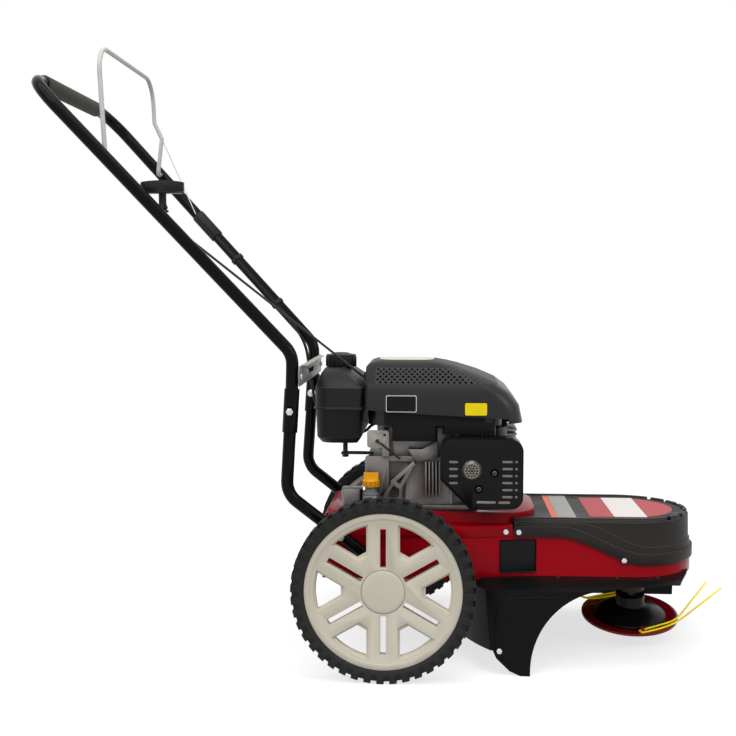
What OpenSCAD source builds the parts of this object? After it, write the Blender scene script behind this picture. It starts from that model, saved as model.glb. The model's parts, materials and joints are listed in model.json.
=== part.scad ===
// Walk-behind string trimmer on two large wheels, all lengths in millimetres.
// +X is forward, +Y is to the operator's left, +Z is up.
// The origin is on the ground, under the middle of the axle.

/* [Wheels] */
// Outer diameter of the tyres
wheel_d = 356; // [320:1:380]
// Width of the tyres
tyre_w = 48; // [44:1:60]
// Height of the rubber outside the rim
tyre_h = 26; // [22:1:33]
// Diameter of the hub caps
hub_cap_d = 83; // [70:1:92]
// Distance between the middle planes of the two wheels
track = 555; // [545:1:620]
// Width of a wheel spoke
spoke_w = 64; // [56:1:66]
// Width of the slot along each spoke
spoke_slot_w = 11.5; // [6:0.5:16]
// Number of tread lugs in each row of a tyre
lug_count = 44; // [24:1:60]
// Height of the tread lugs
lug_h = 5; // [3:0.5:8]
// Diameter of the axle
axle_d = 16; // [12:0.5:20]

/* [Deck] */
// Half the width of the deck beside the wheels
deck_half = 163; // [158:1:170]
// How much narrower the deck is on each side round the trimmer head
nose_taper = 21; // [15:1:25]
// Height of the deck's lower edge above the ground
deck_low = 170; // [166:1:174]
// Height of the plate under the belt
belt_floor = 206; // [200:1:210]
// Height of the plate that the engine stands on
engine_floor = 300; // [298:1:304]
// Sheet thickness of the pressed steel
sheet = 2; // [1.5:0.5:3]
// Height of the top of the belt cover
cover_top = 290; // [286:1:296]
// Wall thickness of the moulded plastic covers
plastic_wall = 3.5; // [2.5:0.5:4.5]

/* [Debris shield] */
// Half the width of the shield at the ground
shield_half = 238; // [230:1:245]
// Radius of the shield's rear wall round the trimmer head
shield_rear_r = 388; // [375:1:396]
// Height of the rear wall's lower edge
shield_rear_low = 48; // [40:1:70]
// Radius of the sweep that opens the right side of the shield
shield_sweep_r = 160; // [140:1:164]

/* [Trimmer head] */
// Forward distance of the head from the axle
head_x = 518; // [510:1:524]
// Lean of the head towards the right side, in degrees
head_lean = 10; // [4:0.5:11]
// Distance from the belt plate down to the glide disc, along the spindle
head_drop = 157; // [150:1:165]
// Diameter of the glide disc
disc_d = 204; // [180:1:220]
// Diameter of a trimmer line
line_d = 4; // [2.5:0.5:5]
// Diameter of the spindle
spindle_d = 20; // [16:0.5:24]
// Outer diameter of the spindle pulley
spindle_pulley_d = 88; // [80:1:92]
// Outer diameter of the engine pulley
drive_pulley_d = 76; // [70:1:86]

/* [Engine] */
// Forward distance of the crankshaft from the axle
crank_x = 65; // [60:1:70]
// Diameter of the crankshaft
crank_d = 25; // [20:0.5:28]
// Height of the shroud's lower edge
shroud_low = 486; // [482:1:492]
// Height of the shroud from its lower edge to its top
shroud_h = 119; // [116:1:124]
// Half the width of the shroud
shroud_half = 148; // [142:1:152]
// Diameter of the fuel cap
fuel_cap_d = 66; // [60:1:70]
// Length of the dipstick below its cap
dipstick_len = 42; // [30:1:46]

/* [Handle] */
// Outer diameter of the handle tubes
tube_d = 25.4; // [22:0.1:28]
// Wall thickness of the handle tubes
tube_wall = 1.5; // [1:0.1:2.5]
// Height of the handle bar above the ground
bar_z = 1163; // [1145:1:1180]
// Distance of the handle bar behind the axle
bar_x = 684; // [670:1:700]
// Half the distance between the handle tubes at the bar
bar_half = 262; // [254:1:270]
// Length of the foam grip
grip_len = 344; // [250:1:346]
// Outer diameter of the foam grip
grip_d = 33; // [30:1:36]
// Radius of the handle bends, to the middle of the tube
bend_r = 50; // [40:1:54]
// Radius of the bends at the ends of the handle bar
bar_bend_r = 70; // [55:1:76]
// Diameter of the bail rod
bail_d = 9.5; // [7:0.5:10]
// Height of the bail above its pivots
bail_h = 211; // [206:1:215]
// Diameter of the starter rope
rope_d = 5; // [3:0.5:6]
// Diameter of the control cable
cable_d = 6.5; // [5:0.5:7.5]

/* [Hidden] */
$fn = 64;

// Clearances
shaft_gap = 0.05;
seat_gap = 0.3;
bolt_gap = 0.2;

// Colours
red = "#98000f";
cream = "#cdc8ba";
tyre_black = "#2a2a2a";
gloss_black = "#141414";
plastic_black = "#2c2c2e";
cover_grey = "#35332f";
cast_grey = "#77726d";
steel = "#b9bbbd";
yellow = "#f3b91f";

// Shared places
wheel_r = wheel_d / 2;
rim_d = wheel_d - 2 * tyre_h;
// The machine is drawn with its axle at this height and raised or lowered onto its wheels
axle_z = 178;
lift = wheel_r - axle_z;
ground = -lift;
module raised() {
    translate([0, 0, lift]) children();
}
head_floor = [head_x, 0, belt_floor];
crank_at = [crank_x, 0, 0];
tube_r = tube_d / 2;
// Half the width of the deck round the trimmer head, also its nose radius
nose_half = deck_half - nose_taper;
shroud_top = shroud_low + shroud_h;
rope_r = rope_d / 2;
cable_r = cable_d / 2;
bail_r = bail_d / 2;

// Corner points of the handle on the left side; the right side is mirrored
joint_top = [-187, deck_half + 27, 549];
upper_bend = [-185, deck_half + 30, 626];
bar_corner = [-bar_x, bar_half, bar_z];
lower_bend = [-200, deck_half + 17, 345];
lower_end = [-28, deck_half + tube_r + bolt_gap, 212];
sleeve_len = 79;
sleeve_wall = 2.6;

// Vector helpers
function unit(v) = v / norm(v);
function along(a, b, d) = a + unit(b - a) * d;
function sided(p, s) = [p.x, s * p.y, p.z];
function turn_angle(u, v) = acos(max(-1, min(1, unit(u) * unit(v))));
function ease(t) = t <= 0 ? 0 : t >= 1 ? 1 : t * t * (3 - 2 * t);
// Point on the upper handle tube, t from 0 at its bend to 1 at the bar
function on_tube(t, s) = sided(upper_bend + (bar_corner - upper_bend) * t, s);
tube_dir = unit(bar_corner - upper_bend);

// Round bar from a to b
module rod_between(a, b, r) {
    d = b - a;
    reach = norm(d);
    translate(a) rotate([0, acos(d.z / reach), atan2(d.y, d.x)]) cylinder(r = r, h = reach);
}

// Path with round corners: each inner corner becomes an arc of the given radius
arc_steps = 6;
function arc_at(a, b, c, bend) =
    let (u = unit(b - a), v = unit(c - b), turn = turn_angle(u, v), w = unit(v - u * (u * v)),
         m = b - u * bend * tan(turn / 2) + w * bend)
    [for (k = [0:arc_steps]) let (q = turn * k / arc_steps) m + bend * (u * sin(q) - w * cos(q))];
function rounded_path(p, bend) = [p[0], for (i = [1:len(p) - 2])
    each arc_at(p[i - 1], p[i], p[i + 1], is_list(bend) ? bend[i - 1] : bend), p[len(p) - 1]];
// Directions along a path, and a side direction carried along it without twisting
function path_dirs(c) = [for (i = [0:len(c) - 1]) let (
    ahead = i < len(c) - 1 ? unit(c[i + 1] - c[i]) : [0, 0, 0],
    back = i > 0 ? unit(c[i] - c[i - 1]) : [0, 0, 0]) unit(ahead + back)];
function carried(dirs, u, i = 0) = i >= len(dirs) ? [] :
    let (w = unit(u - dirs[i] * (dirs[i] * u))) concat([w], carried(dirs, w, i + 1));
function rings_of(c, r, sides) = let (dirs = path_dirs(c), us = carried(dirs, unit(cross(dirs[0], [0.31, 0.85, 0.42]))))
    [for (i = [0:len(c) - 1], k = [0:sides - 1]) let (a = 360 * k / sides)
        c[i] + r * (cos(a) * us[i] + sin(a) * cross(dirs[i], us[i]))];
function walls_of(n, sides, first, flip) = [for (i = [0:n - 2], k = [0:sides - 1])
    let (j = (k + 1) % sides, q = first + i * sides, f = [q + j, q + k, q + sides + k, q + sides + j])
    flip ? [f[3], f[2], f[1], f[0]] : f];
// Round bar swept along a path of points
module swept_rod(c, r, sides) {
    n = len(c);
    caps = [[for (k = [0:sides - 1]) k], [for (k = [sides - 1:-1:0]) (n - 1) * sides + k]];
    polyhedron(rings_of(c, r, sides), concat(walls_of(n, sides, 0, false), caps));
}
// Tube swept along a path of points
module swept_tube(c, r, wall, sides) {
    n = len(c);
    inner = n * sides;
    last = (n - 1) * sides;
    ends = [for (k = [0:sides - 1]) let (j = (k + 1) % sides) each [
        [k, j, inner + j, inner + k], [last + j, last + k, inner + last + k, inner + last + j]]];
    polyhedron(concat(rings_of(c, r, sides), rings_of(c, r - wall, sides)),
        concat(walls_of(n, sides, 0, false), walls_of(n, sides, inner, true), ends));
}
tube_sides = 20;

// Rectangle with round corners
module rounded_rect(x0, x1, y0, y1, r) {
    translate([x0 + r, y0]) square([x1 - x0 - 2 * r, y1 - y0]);
    translate([x0, y0 + r]) square([x1 - x0, y1 - y0 - 2 * r]);
    for (x = [x0 + r, x1 - r], y = [y0 + r, y1 - r]) translate([x, y]) circle(r);
}

module rounded_block(x0, x1, y0, y1, z0, z1, r) {
    translate([0, 0, z0]) linear_extrude(z1 - z0) rounded_rect(x0, x1, y0, y1, r);
}

// Profile drawn in X and Z, given a thickness across Y from y0 to y1
module across(y0, y1) {
    translate([0, y1, 0]) rotate([90, 0, 0]) linear_extrude(y1 - y0) children();
}

// Profile drawn in Y and Z, given a length along X from x0 to x1
module lengthwise(x0, x1) {
    translate([x0, 0, 0]) rotate([90, 0, 90]) linear_extrude(x1 - x0) children();
}

// Children turned so that their +Z points out of the side s of the machine
module facing_side(s) {
    rotate([-s * 90, 0, 0]) children();
}

// Hexagon-head bolt: washer face at the origin, head along +Z, shank along -Z
module hex_bolt(d, shank, head_w, head_h) {
    cylinder(d = head_w / cos(30), h = head_h, $fn = 6);
    translate([0, 0, -shank]) cylinder(d = d, h = shank + head_h / 2);
}

// Frame that leans with the trimmer head; Z runs up the spindle, zero at the belt plate
module on_spindle() {
    translate(head_floor) rotate([head_lean, 0, 0]) children();
}

// Outline of the deck seen from above, grown by g
deck_rear = -130;
taper_start = 175;
taper_end = 300;
nose_x = 493;
module deck_outline(g = 0) {
    polygon([
        [deck_rear - g, -deck_half - g], [taper_start, -deck_half - g], [taper_end, -nose_half - g],
        [nose_x, -nose_half - g], [nose_x, nose_half + g], [taper_end, nose_half + g],
        [taper_start, deck_half + g], [deck_rear - g, deck_half + g]
    ]);
    translate([nose_x, 0]) circle(nose_half + g);
}

// Lower edge of the belt cover: high beside the engine, low round the nose
edge_high = 256;
edge_low = 200;
edge_start = 345;
edge_end = 525;
edge_steps = 14;
function cover_edge(x) = edge_high - (edge_high - edge_low) * ease((x - edge_start) / (edge_end - edge_start));
// Everything between two heights above the cover's lower edge
module above_edge(a, b) {
    xs = [-300, for (i = [0:edge_steps]) edge_start + (edge_end - edge_start) * i / edge_steps, 800];
    across(-400, 400) polygon(concat(
        [for (x = xs) [x, cover_edge(x) + a]],
        [for (i = [len(xs) - 1:-1:0]) [xs[i], cover_edge(xs[i]) + b]]));
}

// Places of the bolts through the cover's flange and the engine deck's flange, as x and z
flange_bolts = [[240, 268], [266, 267], [477, 211]];
function side_at(x) = x < taper_start ? deck_half : x > taper_end ? nose_half
    : deck_half + (nose_half - deck_half) * (x - taper_start) / (taper_end - taper_start);
flange_bolt_d = 6;
module flange_bolt_holes() {
    for (b = flange_bolts) translate([b.x, 0, b.y]) rotate([90, 0, 0])
        cylinder(d = flange_bolt_d + 2 * bolt_gap, h = 4 * deck_half, center = true);
}

// Lower frame of the deck: side walls, round nose, the plate under the belt and the shield's flange
crank_hole_r = 34;
spindle_hole_r = 40;
axle_slot_r = axle_d / 2 + 3;
wall_rise = 15;
shield_flange = 20;
shield_flange_x = 272;
module deck() color(red) raised() {
    difference() {
        union() {
            intersection() {
                translate([0, 0, deck_low]) linear_extrude(edge_high + wall_rise - deck_low) deck_outline();
                above_edge(-200, wall_rise);
            }
            translate([0, 0, deck_low]) linear_extrude(sheet) intersection() {
                deck_outline(shield_flange);
                translate([shield_flange_x, -300]) square([330, 600]);
            }
        }
        translate([0, 0, deck_low - 1]) linear_extrude(belt_floor - deck_low - sheet + 1) deck_outline(-sheet);
        translate([0, 0, belt_floor]) linear_extrude(100) deck_outline(-sheet);
        translate(head_floor + [0, 0, -10]) cylinder(r = spindle_hole_r, h = 20);
        translate(crank_at + [0, 0, belt_floor - 10]) cylinder(r = crank_hole_r, h = 20);
        across(-2 * deck_half, 2 * deck_half) {
            translate([0, axle_z]) circle(axle_slot_r);
            translate([-axle_slot_r, deck_low - 5]) square([2 * axle_slot_r, axle_z - deck_low + 5]);
        }
        flange_bolt_holes();
        for (p = lower_bolts) side_hole(p, handle_bolt_d);
        rivet_holes();
    }
}

// Engine deck: raised platform with a round front, side flanges over the frame and a sloping rear apron
platform_half = 128;
platform_front = 304;
platform_rear = -98;
platform_r = 80;
platform_low = 278;
flange_front = 254;
flange_rear = -55;
flange_gap = 0.4;
apron_half = 124;
engine_bolt_d = 8;
engine_bolt_places = [for (x = [-32, 166], y = [-94, 94]) [x, y]];
module platform_outline(g = 0) {
    rounded_rect(platform_rear - g, platform_front + g, -platform_half - g, platform_half + g, platform_r);
}
module engine_deck() color(red) raised() {
    difference() {
        union() {
            difference() {
                translate([0, 0, platform_low]) linear_extrude(engine_floor - platform_low) platform_outline();
                translate([0, 0, platform_low - 1]) linear_extrude(engine_floor - platform_low + 1 - sheet)
                    platform_outline(-sheet);
            }
            // Shelf beside the platform and the flange that hangs over the frame
            difference() {
                translate([0, 0, edge_high + 2]) linear_extrude(platform_low + sheet - edge_high - 2)
                    intersection() {
                        deck_outline(flange_gap + sheet);
                        translate([flange_rear, -300]) square([flange_front - flange_rear, 600]);
                    }
                translate([0, 0, edge_high]) linear_extrude(platform_low - edge_high) deck_outline(flange_gap);
                translate([0, 0, platform_low - 1]) linear_extrude(10) platform_outline(-sheet);
            }
            across(-apron_half, apron_half) polygon([
                [platform_rear + 1, engine_floor], [platform_rear - 28, engine_floor - 5], [-158, 233],
                [-158 + sheet, 233], [platform_rear - 27 + sheet, engine_floor - 5 - sheet],
                [platform_rear + 1, engine_floor - sheet]]);
        }
        translate(crank_at + [0, 0, platform_low]) cylinder(r = crank_hole_r, h = 50);
        flange_bolt_holes();
        for (p = engine_bolt_places) translate([p.x, p.y, platform_low])
            cylinder(d = engine_bolt_d + 2 * bolt_gap, h = 50);
    }
}

// Belt cover: moulded body on a flange that follows the swept lower edge
cover_rear = 257;
cover_gap = 0.8;
flange_h = 22;
body_inset = 3;
body_draft = 2;
rim_rise = 3;
rim_w = 8;
// Crease on the body: its lower part stands out below a line that falls towards the nose
crease_out = 1.6;
crease_start = 392;
crease_end = 532;
crease_fall = 47;
module cover_body(g, top) {
    hull() for (level = [[edge_low, 0], [cover_top - 6, -body_draft], [cover_top, -body_draft - 3]]) {
        shrink = level[1] - body_inset + g;
        translate([0, 0, min(level[0], top - 1)]) linear_extrude(1) {
            translate([nose_x, 0]) circle(nose_half + shrink, $fn = 48);
            translate([cover_rear - 20, -nose_half - shrink]) square([nose_x - cover_rear + 20, 2 * (nose_half + shrink)]);
        }
    }
}
cover_notches = 7;
module cover_ring(g) {
    translate([nose_x, 0]) circle(nose_half + g);
    translate([cover_rear - 20, -nose_half - g]) square([nose_x - cover_rear + 20, 2 * (nose_half + g)]);
}
module below_crease() {
    across(-400, 400) polygon(concat([[0, 100], [0, cover_top - 8]],
        [for (i = [0:edge_steps]) let (t = i / edge_steps)
            [crease_start + (crease_end - crease_start) * t, cover_top - 8 - crease_fall * ease(t)]],
        [[800, cover_top - 8 - crease_fall], [800, 100]]));
}
module belt_cover() color(cover_grey) raised() {
    difference() {
        union() {
            intersection() {
                translate([0, 0, edge_low - 5]) linear_extrude(100) deck_outline(cover_gap + plastic_wall);
                above_edge(0, flange_h);
            }
            intersection() {
                union() {
                    cover_body(0, cover_top);
                    intersection() {
                        translate([0, 0, edge_low]) linear_extrude(100) cover_ring(crease_out - body_inset);
                        below_crease();
                    }
                }
                above_edge(1, 200);
            }
            // Raised rim round the top
            translate([0, 0, cover_top - 1]) linear_extrude(rim_rise + 1) difference() {
                cover_ring(-body_inset - body_draft - 3);
                translate([-30, 0]) cover_ring(-body_inset - body_draft - 3 - rim_w);
                cover_ring(-body_inset - body_draft - 3 - rim_w);
            }
        }
        intersection() {
            translate([0, 0, edge_low - 50]) linear_extrude(140) deck_outline(cover_gap);
            above_edge(-50, flange_h - plastic_wall);
        }
        cover_body(-plastic_wall, cover_top - plastic_wall);
        // Room for the engine deck's platform and flange
        translate([0, 0, platform_low - 60]) linear_extrude(200) platform_outline(seat_gap);
        translate([-200, -300, 100]) cube([200 + cover_rear, 600, 300]);
        // Grip notches round the top of the nose
        for (i = [0:cover_notches - 1]) translate([nose_x, 0, cover_top]) rotate([0, 0, -54 + 108 * i / (cover_notches - 1)])
            translate([nose_half - body_inset - body_draft - 3, 0, rim_rise]) cube([22, 11, 14], center = true);
        flange_bolt_holes();
    }
}

// Bolts of the engine deck's flange and the belt cover, a pair on each side
module deck_bolts() color(steel) raised() {
    for (b = flange_bolts, s = [-1, 1]) {
        out = side_at(b.x) + (b.x < flange_front ? flange_gap + sheet : cover_gap + plastic_wall) + 1;
        translate([b.x, s * out, b.y]) facing_side(s) hex_bolt(flange_bolt_d, out - side_at(b.x) + 6, 10, 4);
    }
}

// Debris shield: moulded skirt with a wide shoulder, a round rear wall and an open right front
shield_top = deck_low + sheet + seat_gap + plastic_wall;
shield_levels = [
    // height, half width on the right, half width on the left, rear radius
    [shield_top, 172, 205, shield_rear_r - 26],
    [shield_top - 12, 212, 224, shield_rear_r - 4],
    [ground, shield_half, shield_half, shield_rear_r]
];
shield_front = 700;
module shield_outline(level, g) {
    intersection() {
        translate([head_x, 0]) circle(level[3] + g, $fn = 96);
        translate([-50, -level[1] - g]) square([shield_front + 50, level[1] + level[2] + 2 * g]);
    }
}
module shield_solid(g, drop) {
    hull() for (level = shield_levels)
        translate([0, 0, level[0] - (level[0] == ground ? 0 : drop) - 1]) linear_extrude(1) shield_outline(level, g);
}
sweep_at = [445, 6];
arm_low = 171.5;
far_low = 40;
flap_x = [212, 219, 245, 266, 280, 298];
module debris_shield() color(plastic_black) raised() {
    difference() {
        shield_solid(0, 0);
        shield_solid(-plastic_wall, plastic_wall);
        translate([0, 0, deck_low - seat_gap]) linear_extrude(100) deck_outline(seat_gap);
        // Slanted front ends of the two arms
        translate([0, 0, -100]) linear_extrude(500) polygon([
            [650, 300], [650, 60], [638, 0], [612, -95], [572, -212], [560, -300], [900, -300], [900, 300]]);
        // Sweep that opens the right side
        across(-300, 0) {
            translate(sweep_at) circle(shield_sweep_r);
            polygon([[sweep_at.x, -60], [sweep_at.x, sweep_at.y + shield_sweep_r], [sweep_at.x + 120, arm_low], [950, arm_low], [950, -60]]);
        }
        // Lower edge of the rear wall and of the two flaps that touch the ground
        across(-300, 300) translate([0, ground]) polygon([
            [0, -60], [0, shield_rear_low], [flap_x[0], shield_rear_low], [flap_x[1], 33], [flap_x[2], 9],
            [flap_x[3], 0], [flap_x[4], 0], [flap_x[4], -60]]);
        across(0, 300) translate([0, ground]) polygon([
            [flap_x[4], -60], [flap_x[4], 0], [flap_x[5], far_low], [800, far_low], [800, -60]]);
        translate([-100, -400, ground - 60]) cube([1000, 800, 60]);
        rivet_holes();
        at_flaps() translate([0, 0, -20]) cylinder(d = flap_bolt_d + 2 * bolt_gap, h = 40);
    }
}

// Rivets along the shoulder and the bolt at each flap
rivet_x = [345, 462, 545];
rivet_d = 5;
flap_bolt = [225, 47];
flap_bolt_d = 6;
function rivet_y(x) = (x > nose_x ? sqrt(pow(nose_half, 2) - pow(x - nose_x, 2)) : side_at(x)) + 11;
module at_rivets() {
    for (x = rivet_x, s = [-1, 1]) translate([x, s * rivet_y(x), shield_top]) children();
}
module rivet_holes() {
    at_rivets() translate([0, 0, -20]) cylinder(d = rivet_d + 2 * bolt_gap, h = 40);
}
// Outside face of the shield's side wall at the height of the flap bolt; the left wall is steeper
function wall_lean(s) = (shield_half - shield_levels[1][s < 0 ? 1 : 2]) / (shield_levels[1][0] - ground);
module at_flaps() {
    for (s = [-1, 1]) translate([flap_bolt.x, s * (shield_half - wall_lean(s) * flap_bolt.y), ground + flap_bolt.y])
        facing_side(s) rotate([s * atan(wall_lean(s)), 0, 0]) children();
}
module shield_fasteners() color(steel) raised() {
    at_rivets() {
        translate([0, 0, 0.1]) cylinder(d1 = 2 * rivet_d, d2 = rivet_d, h = 2);
        translate([0, 0, -12]) cylinder(d = rivet_d, h = 13);
    }
    at_flaps() translate([0, 0, seat_gap]) hex_bolt(flap_bolt_d, 12, 10, 4);
}

// Axle with its brackets inside the deck, and the collars and push-on rings that keep the wheels in place
hub_face = 18;
hub_inner = tyre_w / 2;
hub_seat = 10;
bracket_t = 5;
collar_w = 16;
axle_reach = track / 2 + 14;
module at_axle() {
    translate([0, 0, axle_z]) children();
}
module axle() color(steel) raised() {
    at_axle() rotate([90, 0, 0]) cylinder(d = axle_d, h = 2 * axle_reach, center = true);
}
module axle_brackets() color(red) raised() {
    for (s = [-1, 1]) difference() {
        across(min(s * (deck_half - sheet), s * (deck_half - sheet - bracket_t)),
               max(s * (deck_half - sheet), s * (deck_half - sheet - bracket_t))) {
            translate([0, axle_z]) circle(axle_d / 2 + 12);
            polygon([[-36, belt_floor - sheet], [36, belt_floor - sheet], [18, axle_z - 8], [-18, axle_z - 8]]);
        }
        at_axle() rotate([90, 0, 0]) cylinder(r = axle_d / 2 + shaft_gap, h = 3 * deck_half, center = true);
    }
}
module axle_ring(r, from, to) {
    rotate_extrude() translate([axle_d / 2 + shaft_gap, from]) square([r - axle_d / 2 - shaft_gap, to - from]);
}
module axle_retainers() color(steel) raised() {
    for (s = [-1, 1]) at_axle() facing_side(s) {
        axle_ring(axle_d / 2 + 7, track / 2 - hub_inner - seat_gap - collar_w, track / 2 - hub_inner - seat_gap);
        axle_ring(axle_d / 2 + 7, track / 2 + hub_seat + seat_gap, track / 2 + hub_seat + 3);
    }
}

// Handle: a lower tube on each side, and one bent upper tube whose sleeves go over them
handle_bolt_d = 8;
joint_bolt = along(joint_top, lower_bend, 36);
lower_bolts = [for (d = [16, 78]) along(lower_end, lower_bend, d)];
brace_bolt_z = 581;
brace_bolt_d = 6;
module side_hole(p, d) {
    translate([p.x, 0, p.z]) rotate([90, 0, 0]) cylinder(d = d + 2 * bolt_gap, h = 4 * deck_half, center = true);
}
module lower_handle(s) color(gloss_black) raised() {
    difference() {
        swept_tube(rounded_path([for (p = [along(joint_top, lower_bend, 3), lower_bend, lower_end]) sided(p, s)],
                                bend_r), tube_r, tube_wall, tube_sides);
        side_hole(joint_bolt, handle_bolt_d);
        for (p = lower_bolts) side_hole(p, handle_bolt_d);
    }
}
module lower_handle_right() lower_handle(-1);
module lower_handle_left() lower_handle(1);

sleeve_lap = 8;
bail_t = 0.732;
bail_pivot = on_tube(bail_t, 1);
handle_path = [for (s = [-1, 1]) each [for (i = s < 0 ? [0, 1, 2] : [2, 1, 0])
    sided([joint_top, upper_bend, bar_corner][i], s)]];
// Frame at a bolt of the cross brace, +Z forward
brace_x = upper_bend.x + tube_r + seat_gap;
module at_brace_bolts() {
    for (s = [-1, 1]) translate([brace_x + sheet, s * (joint_top.y + 1), brace_bolt_z]) rotate([0, 90, 0]) children();
}
module upper_handle() color(gloss_black) raised() {
    difference() {
        union() {
            swept_tube(rounded_path(handle_path, [bend_r, bar_bend_r, bar_bend_r, bend_r]), tube_r, tube_wall, tube_sides);
            for (s = [-1, 1]) difference() {
                rod_between(sided(along(joint_top, lower_bend, -sleeve_lap), s),
                    sided(along(joint_top, lower_bend, sleeve_len), s), tube_r + sleeve_wall);
                rod_between(sided(along(joint_top, lower_bend, -sleeve_lap - 1), s),
                    sided(along(joint_top, lower_bend, 1), s), tube_r - tube_wall - 0.5);
                rod_between(sided(along(joint_top, lower_bend, 1), s),
                    sided(along(joint_top, lower_bend, sleeve_len + 1), s), tube_r + bolt_gap);
            }
        }
        for (s = [-1, 1]) translate(sided(bail_pivot, s)) facing_side(-s) cylinder(r = bail_r + shaft_gap, h = 30);
        side_hole(joint_bolt, handle_bolt_d);
        at_brace_bolts() translate([0, 0, -15]) cylinder(d = brace_bolt_d + 2 * bolt_gap, h = 20);
    }
}
module handle_grip() color("#4a4640") raised() {
    translate([bar_corner.x, 0, bar_z]) rotate([90, 0, 0]) difference() {
        union() {
            cylinder(d = grip_d, h = grip_len - 6, center = true);
            cylinder(d = grip_d - 4, h = grip_len, center = true);
        }
        cylinder(r = tube_r + shaft_gap, h = 2 * grip_len, center = true);
    }
}
module handle_bolts() color(steel) raised() {
    sleeve_r = tube_r + sleeve_wall;
    for (s = [-1, 1]) {
        translate(sided(joint_bolt, s)) facing_side(s) {
            translate([0, 0, -sleeve_r - 1]) cylinder(d = handle_bolt_d, h = 2 * sleeve_r + 10);
            translate([0, 0, sleeve_r + 0.8]) cylinder(d = 13 / cos(30), h = 6.5, $fn = 6);
            translate([0, 0, -sleeve_r - 5.8]) cylinder(d1 = 10, d2 = 19, h = 5);
        }
        for (p = lower_bolts) translate(sided(p, s)) facing_side(s)
            translate([0, 0, tube_r + 0.6]) hex_bolt(handle_bolt_d, 2 * tube_r + 9, 13, 5);
    }
    at_brace_bolts() translate([0, 0, 0.1]) hex_bolt(brace_bolt_d, sheet + 6, 10, 4);
}

// Pressed brace between the handle tubes, with a bent upper edge and a slot
brace_half = joint_top.y + 16;
brace_low = 562;
brace_high = 602;
module cross_brace() color("#b5b5b0") raised() {
    difference() {
        union() {
            lengthwise(brace_x, brace_x + sheet) rounded_rect(-brace_half, brace_half, brace_low, brace_high, 12);
            translate([brace_x, 46 - brace_half, brace_high - sheet]) cube([14, 2 * brace_half - 92, sheet]);
        }
        lengthwise(brace_x - 5, brace_x + 10) rounded_rect(-60, 60, brace_low + 13, brace_low + 25, 5.5);
        at_brace_bolts() translate([0, 0, -15]) cylinder(d = brace_bolt_d + 2 * bolt_gap, h = 20);
    }
}

// Control cable along the inner side of the left tube, with its clamp and ties
inward = unit([0, -1, 0] + tube_dir * tube_dir.y);
cable_off = inward * (tube_r + cable_r + seat_gap);
function cable_on_tube(t) = on_tube(t, 1) + cable_off;
cable_top = 0.557;
clamp_ends = [0.462, 0.555];
tie_places = [0.168, 0.359];
tie_w = 9;
cable_path = [
    cable_on_tube(cable_top), cable_on_tube(0.04), [-192, upper_bend.y - 29, 560], [-176, upper_bend.y - 45, 480], [-150, 136, 424],
    [-66, 122, 426], [-44, 118.5, 452], [-30, 118, 452]
];
module bail_cable() color(plastic_black) raised() swept_rod(rounded_path(cable_path, 22), cable_r, 10);
module cable_clip(a, b) {
    difference() {
        union() {
            rod_between(a, b, tube_r + 2.4);
            rod_between(a + cable_off, b + cable_off, cable_r + 2.2);
        }
        rod_between(along(a, b, -5), along(b, a, -5), tube_r + 0.1);
        rod_between(along(a, b, -5) + cable_off, along(b, a, -5) + cable_off, cable_r + 0.1);
    }
}
module cable_clips() color(plastic_black) raised() {
    cable_clip(on_tube(clamp_ends[0], 1), on_tube(clamp_ends[1], 1));
    for (t = tie_places) cable_clip(on_tube(t, 1), along(on_tube(t, 1), bar_corner, tie_w));
}

// Bail: one bent rod; the left leg has a kink that the wire hooks into
bail_leg = bail_pivot.y - 34.5;
bail_bend = 55;
bail_kink = bail_pivot + [10, bail_leg - bail_pivot.y, 81];
module bail() color("#d8d9d6") raised() {
    foot = bail_pivot.y - 5.5;
    rel = [
        [0, -foot, 0], [0, -bail_leg, 0], [-11, -bail_leg, bail_h], [-11, bail_leg, bail_h],
        [-7, bail_leg, 117], [10, bail_leg, 81], [0, bail_leg, 0], [0, foot, 0]
    ];
    swept_rod(rounded_path([for (p = rel) p + [bail_pivot.x, 0, bail_pivot.z]],
        [10, bail_bend, bail_bend, 14, 10, 10]), bail_r, 14);
}
wire_r = 1.2;
module bail_wire() color(steel) raised() {
    end = cable_on_tube(cable_top);
    rod_between(along(bail_kink, end, 2 * (bail_r + wire_r) + 1), along(end, bail_kink, 1.4), wire_r);
}

// Starter: guide ring on the right tube, T-handle resting on it, rope to the engine and its reel
guide_t = 0.509;
guide_wire = 2.5;
guide_ring = 9.5;
guide_at = on_tube(guide_t, -1) + sided(inward, -1) * (tube_r + 22) + [0, 0, 6];
handle_seat = guide_at + [0, 0, guide_wire + seat_gap];
module rope_guide() color(steel) raised() {
    out = sided(inward, -1);
    foot = on_tube(guide_t, -1) + out * (tube_r + 0.2);
    near = guide_at + unit([foot.x - guide_at.x, foot.y - guide_at.y, 0]) * guide_ring;
    translate(guide_at) rotate_extrude() translate([guide_ring, 0]) circle(guide_wire);
    rod_between(foot, foot + out * 5, 5);
    rod_between(foot + out * 3, near, guide_wire);
}
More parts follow.
